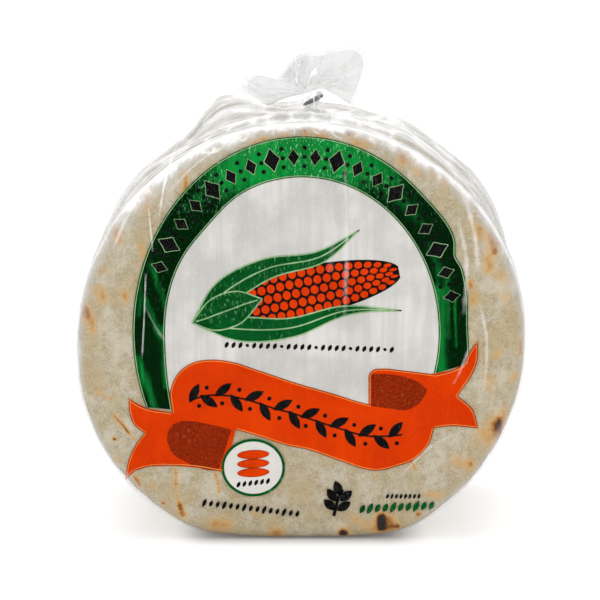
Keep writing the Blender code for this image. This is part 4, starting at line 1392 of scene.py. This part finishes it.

# %% [markdown]
# ## Floor, light and camera
#
# The pack stands on a white floor that glows a little, painted light as on the lit tables goods are
# photographed on, so its shadow is thin and dark only where the pack touches. The glow fades over the last
# millimetres before the base, a painted contact shadow.
# Soft light comes from all round, a lamp above and behind throws the shadow forward, and a low broad one
# lights the print. The camera looks at the printed face from a little above.

# %% Floor
# The floor's glow is painted light, and its fall to the contact glow round the base is a painted shadow.
PAINTED_SHADOW_GLOW, PAINTED_FLOOR_GLOW, PAINTED_SHADOW_FADE = 0.1, 0.5, 14 * MM
PAINTED_SHADOW_HALF = (24 * MM, 50 * MM, 1.0)
bpy.ops.mesh.primitive_plane_add(size=60, location=(0, 0, -0.02 * MM))
floor = bpy.context.object
floor.name = "floor"
floor_material, tree, out, place = new_material("glowing ground with painted shadow")
faint = step(tree, cloud(tree, place, 3.0, 2.0), 0.3, 0.7)
ground = blend(tree, faint, (0.62, 0.62, 0.62, 1), (0.63, 0.63, 0.63, 1))
# Distance from the box round the base, over which the painted shadow fades out.
outward = add(tree, "ShaderNodeVectorMath", {0: place}, operation="ABSOLUTE").outputs[0]
outward = add(tree, "ShaderNodeVectorMath", {0: outward, 1: PAINTED_SHADOW_HALF}, operation="SUBTRACT").outputs[0]
outward = add(tree, "ShaderNodeVectorMath", {0: outward, 1: (0, 0, 0)}, operation="MAXIMUM").outputs[0]
from_base = add(tree, "ShaderNodeVectorMath", {0: outward}, operation="LENGTH").outputs["Value"]
shader = add(
    tree,
    "ShaderNodeBsdfPrincipled",
    {
        "Base Color": ground,
        "Roughness": 0.9,
        "Specular IOR Level": 0.0,
        "Emission Color": (1, 1, 1, 1),
        "Emission Strength": step(tree, from_base, 0.0, PAINTED_SHADOW_FADE, PAINTED_SHADOW_GLOW, PAINTED_FLOOR_GLOW),
    },
)
tree.links.new(shader.outputs[0], out.inputs["Surface"])
floor.data.materials.append(floor_material)

# %% Light
WORLD_STRENGTH = 0.92
HIGH_STRENGTH, FRONT_STRENGTH = 1.25, 0.75
world = bpy.data.worlds.new("studio")
bpy.context.scene.world = world
world.use_nodes = True
world.node_tree.nodes["Background"].inputs["Color"].default_value = (1, 1, 1, 1)
world.node_tree.nodes["Background"].inputs["Strength"].default_value = WORLD_STRENGTH


def lamp(name, kind, energy, aim, **settings):
    """A lamp that shines along aim, a direction."""
    data = bpy.data.lights.new(name, kind)
    data.energy = energy
    for key, value in settings.items():
        setattr(data, key, value)
    thing = bpy.data.objects.new(name, data)
    bpy.context.scene.collection.objects.link(thing)
    aim = np.array(aim) / np.linalg.norm(aim)
    thing.rotation_euler = (math.acos(-aim[2]), 0, math.atan2(-aim[0], aim[1]))
    return thing


lamp("high lamp", "SUN", HIGH_STRENGTH, (0.05, -0.32, -0.95), angle=math.radians(45))
lamp("front lamp", "SUN", FRONT_STRENGTH, (0.1, 0.97, -0.24), angle=math.radians(35))

# %% Camera
ELEVATION, DISTANCE = math.radians(7), 1.05
TARGET = (-0.3 * MM, 0.0, 62.8 * MM)
lens = bpy.data.cameras.new("camera")
lens.sensor_width, lens.lens = 36, 210.5
camera = bpy.data.objects.new("camera", lens)
bpy.context.scene.collection.objects.link(camera)
back, up = DISTANCE * math.cos(ELEVATION), DISTANCE * math.sin(ELEVATION)
camera.location = (TARGET[0], TARGET[1] - back, TARGET[2] + up)
camera.rotation_euler = (math.pi / 2 - ELEVATION, 0, 0)
bpy.context.scene.camera = camera
bpy.context.scene.view_settings.view_transform = "Standard"
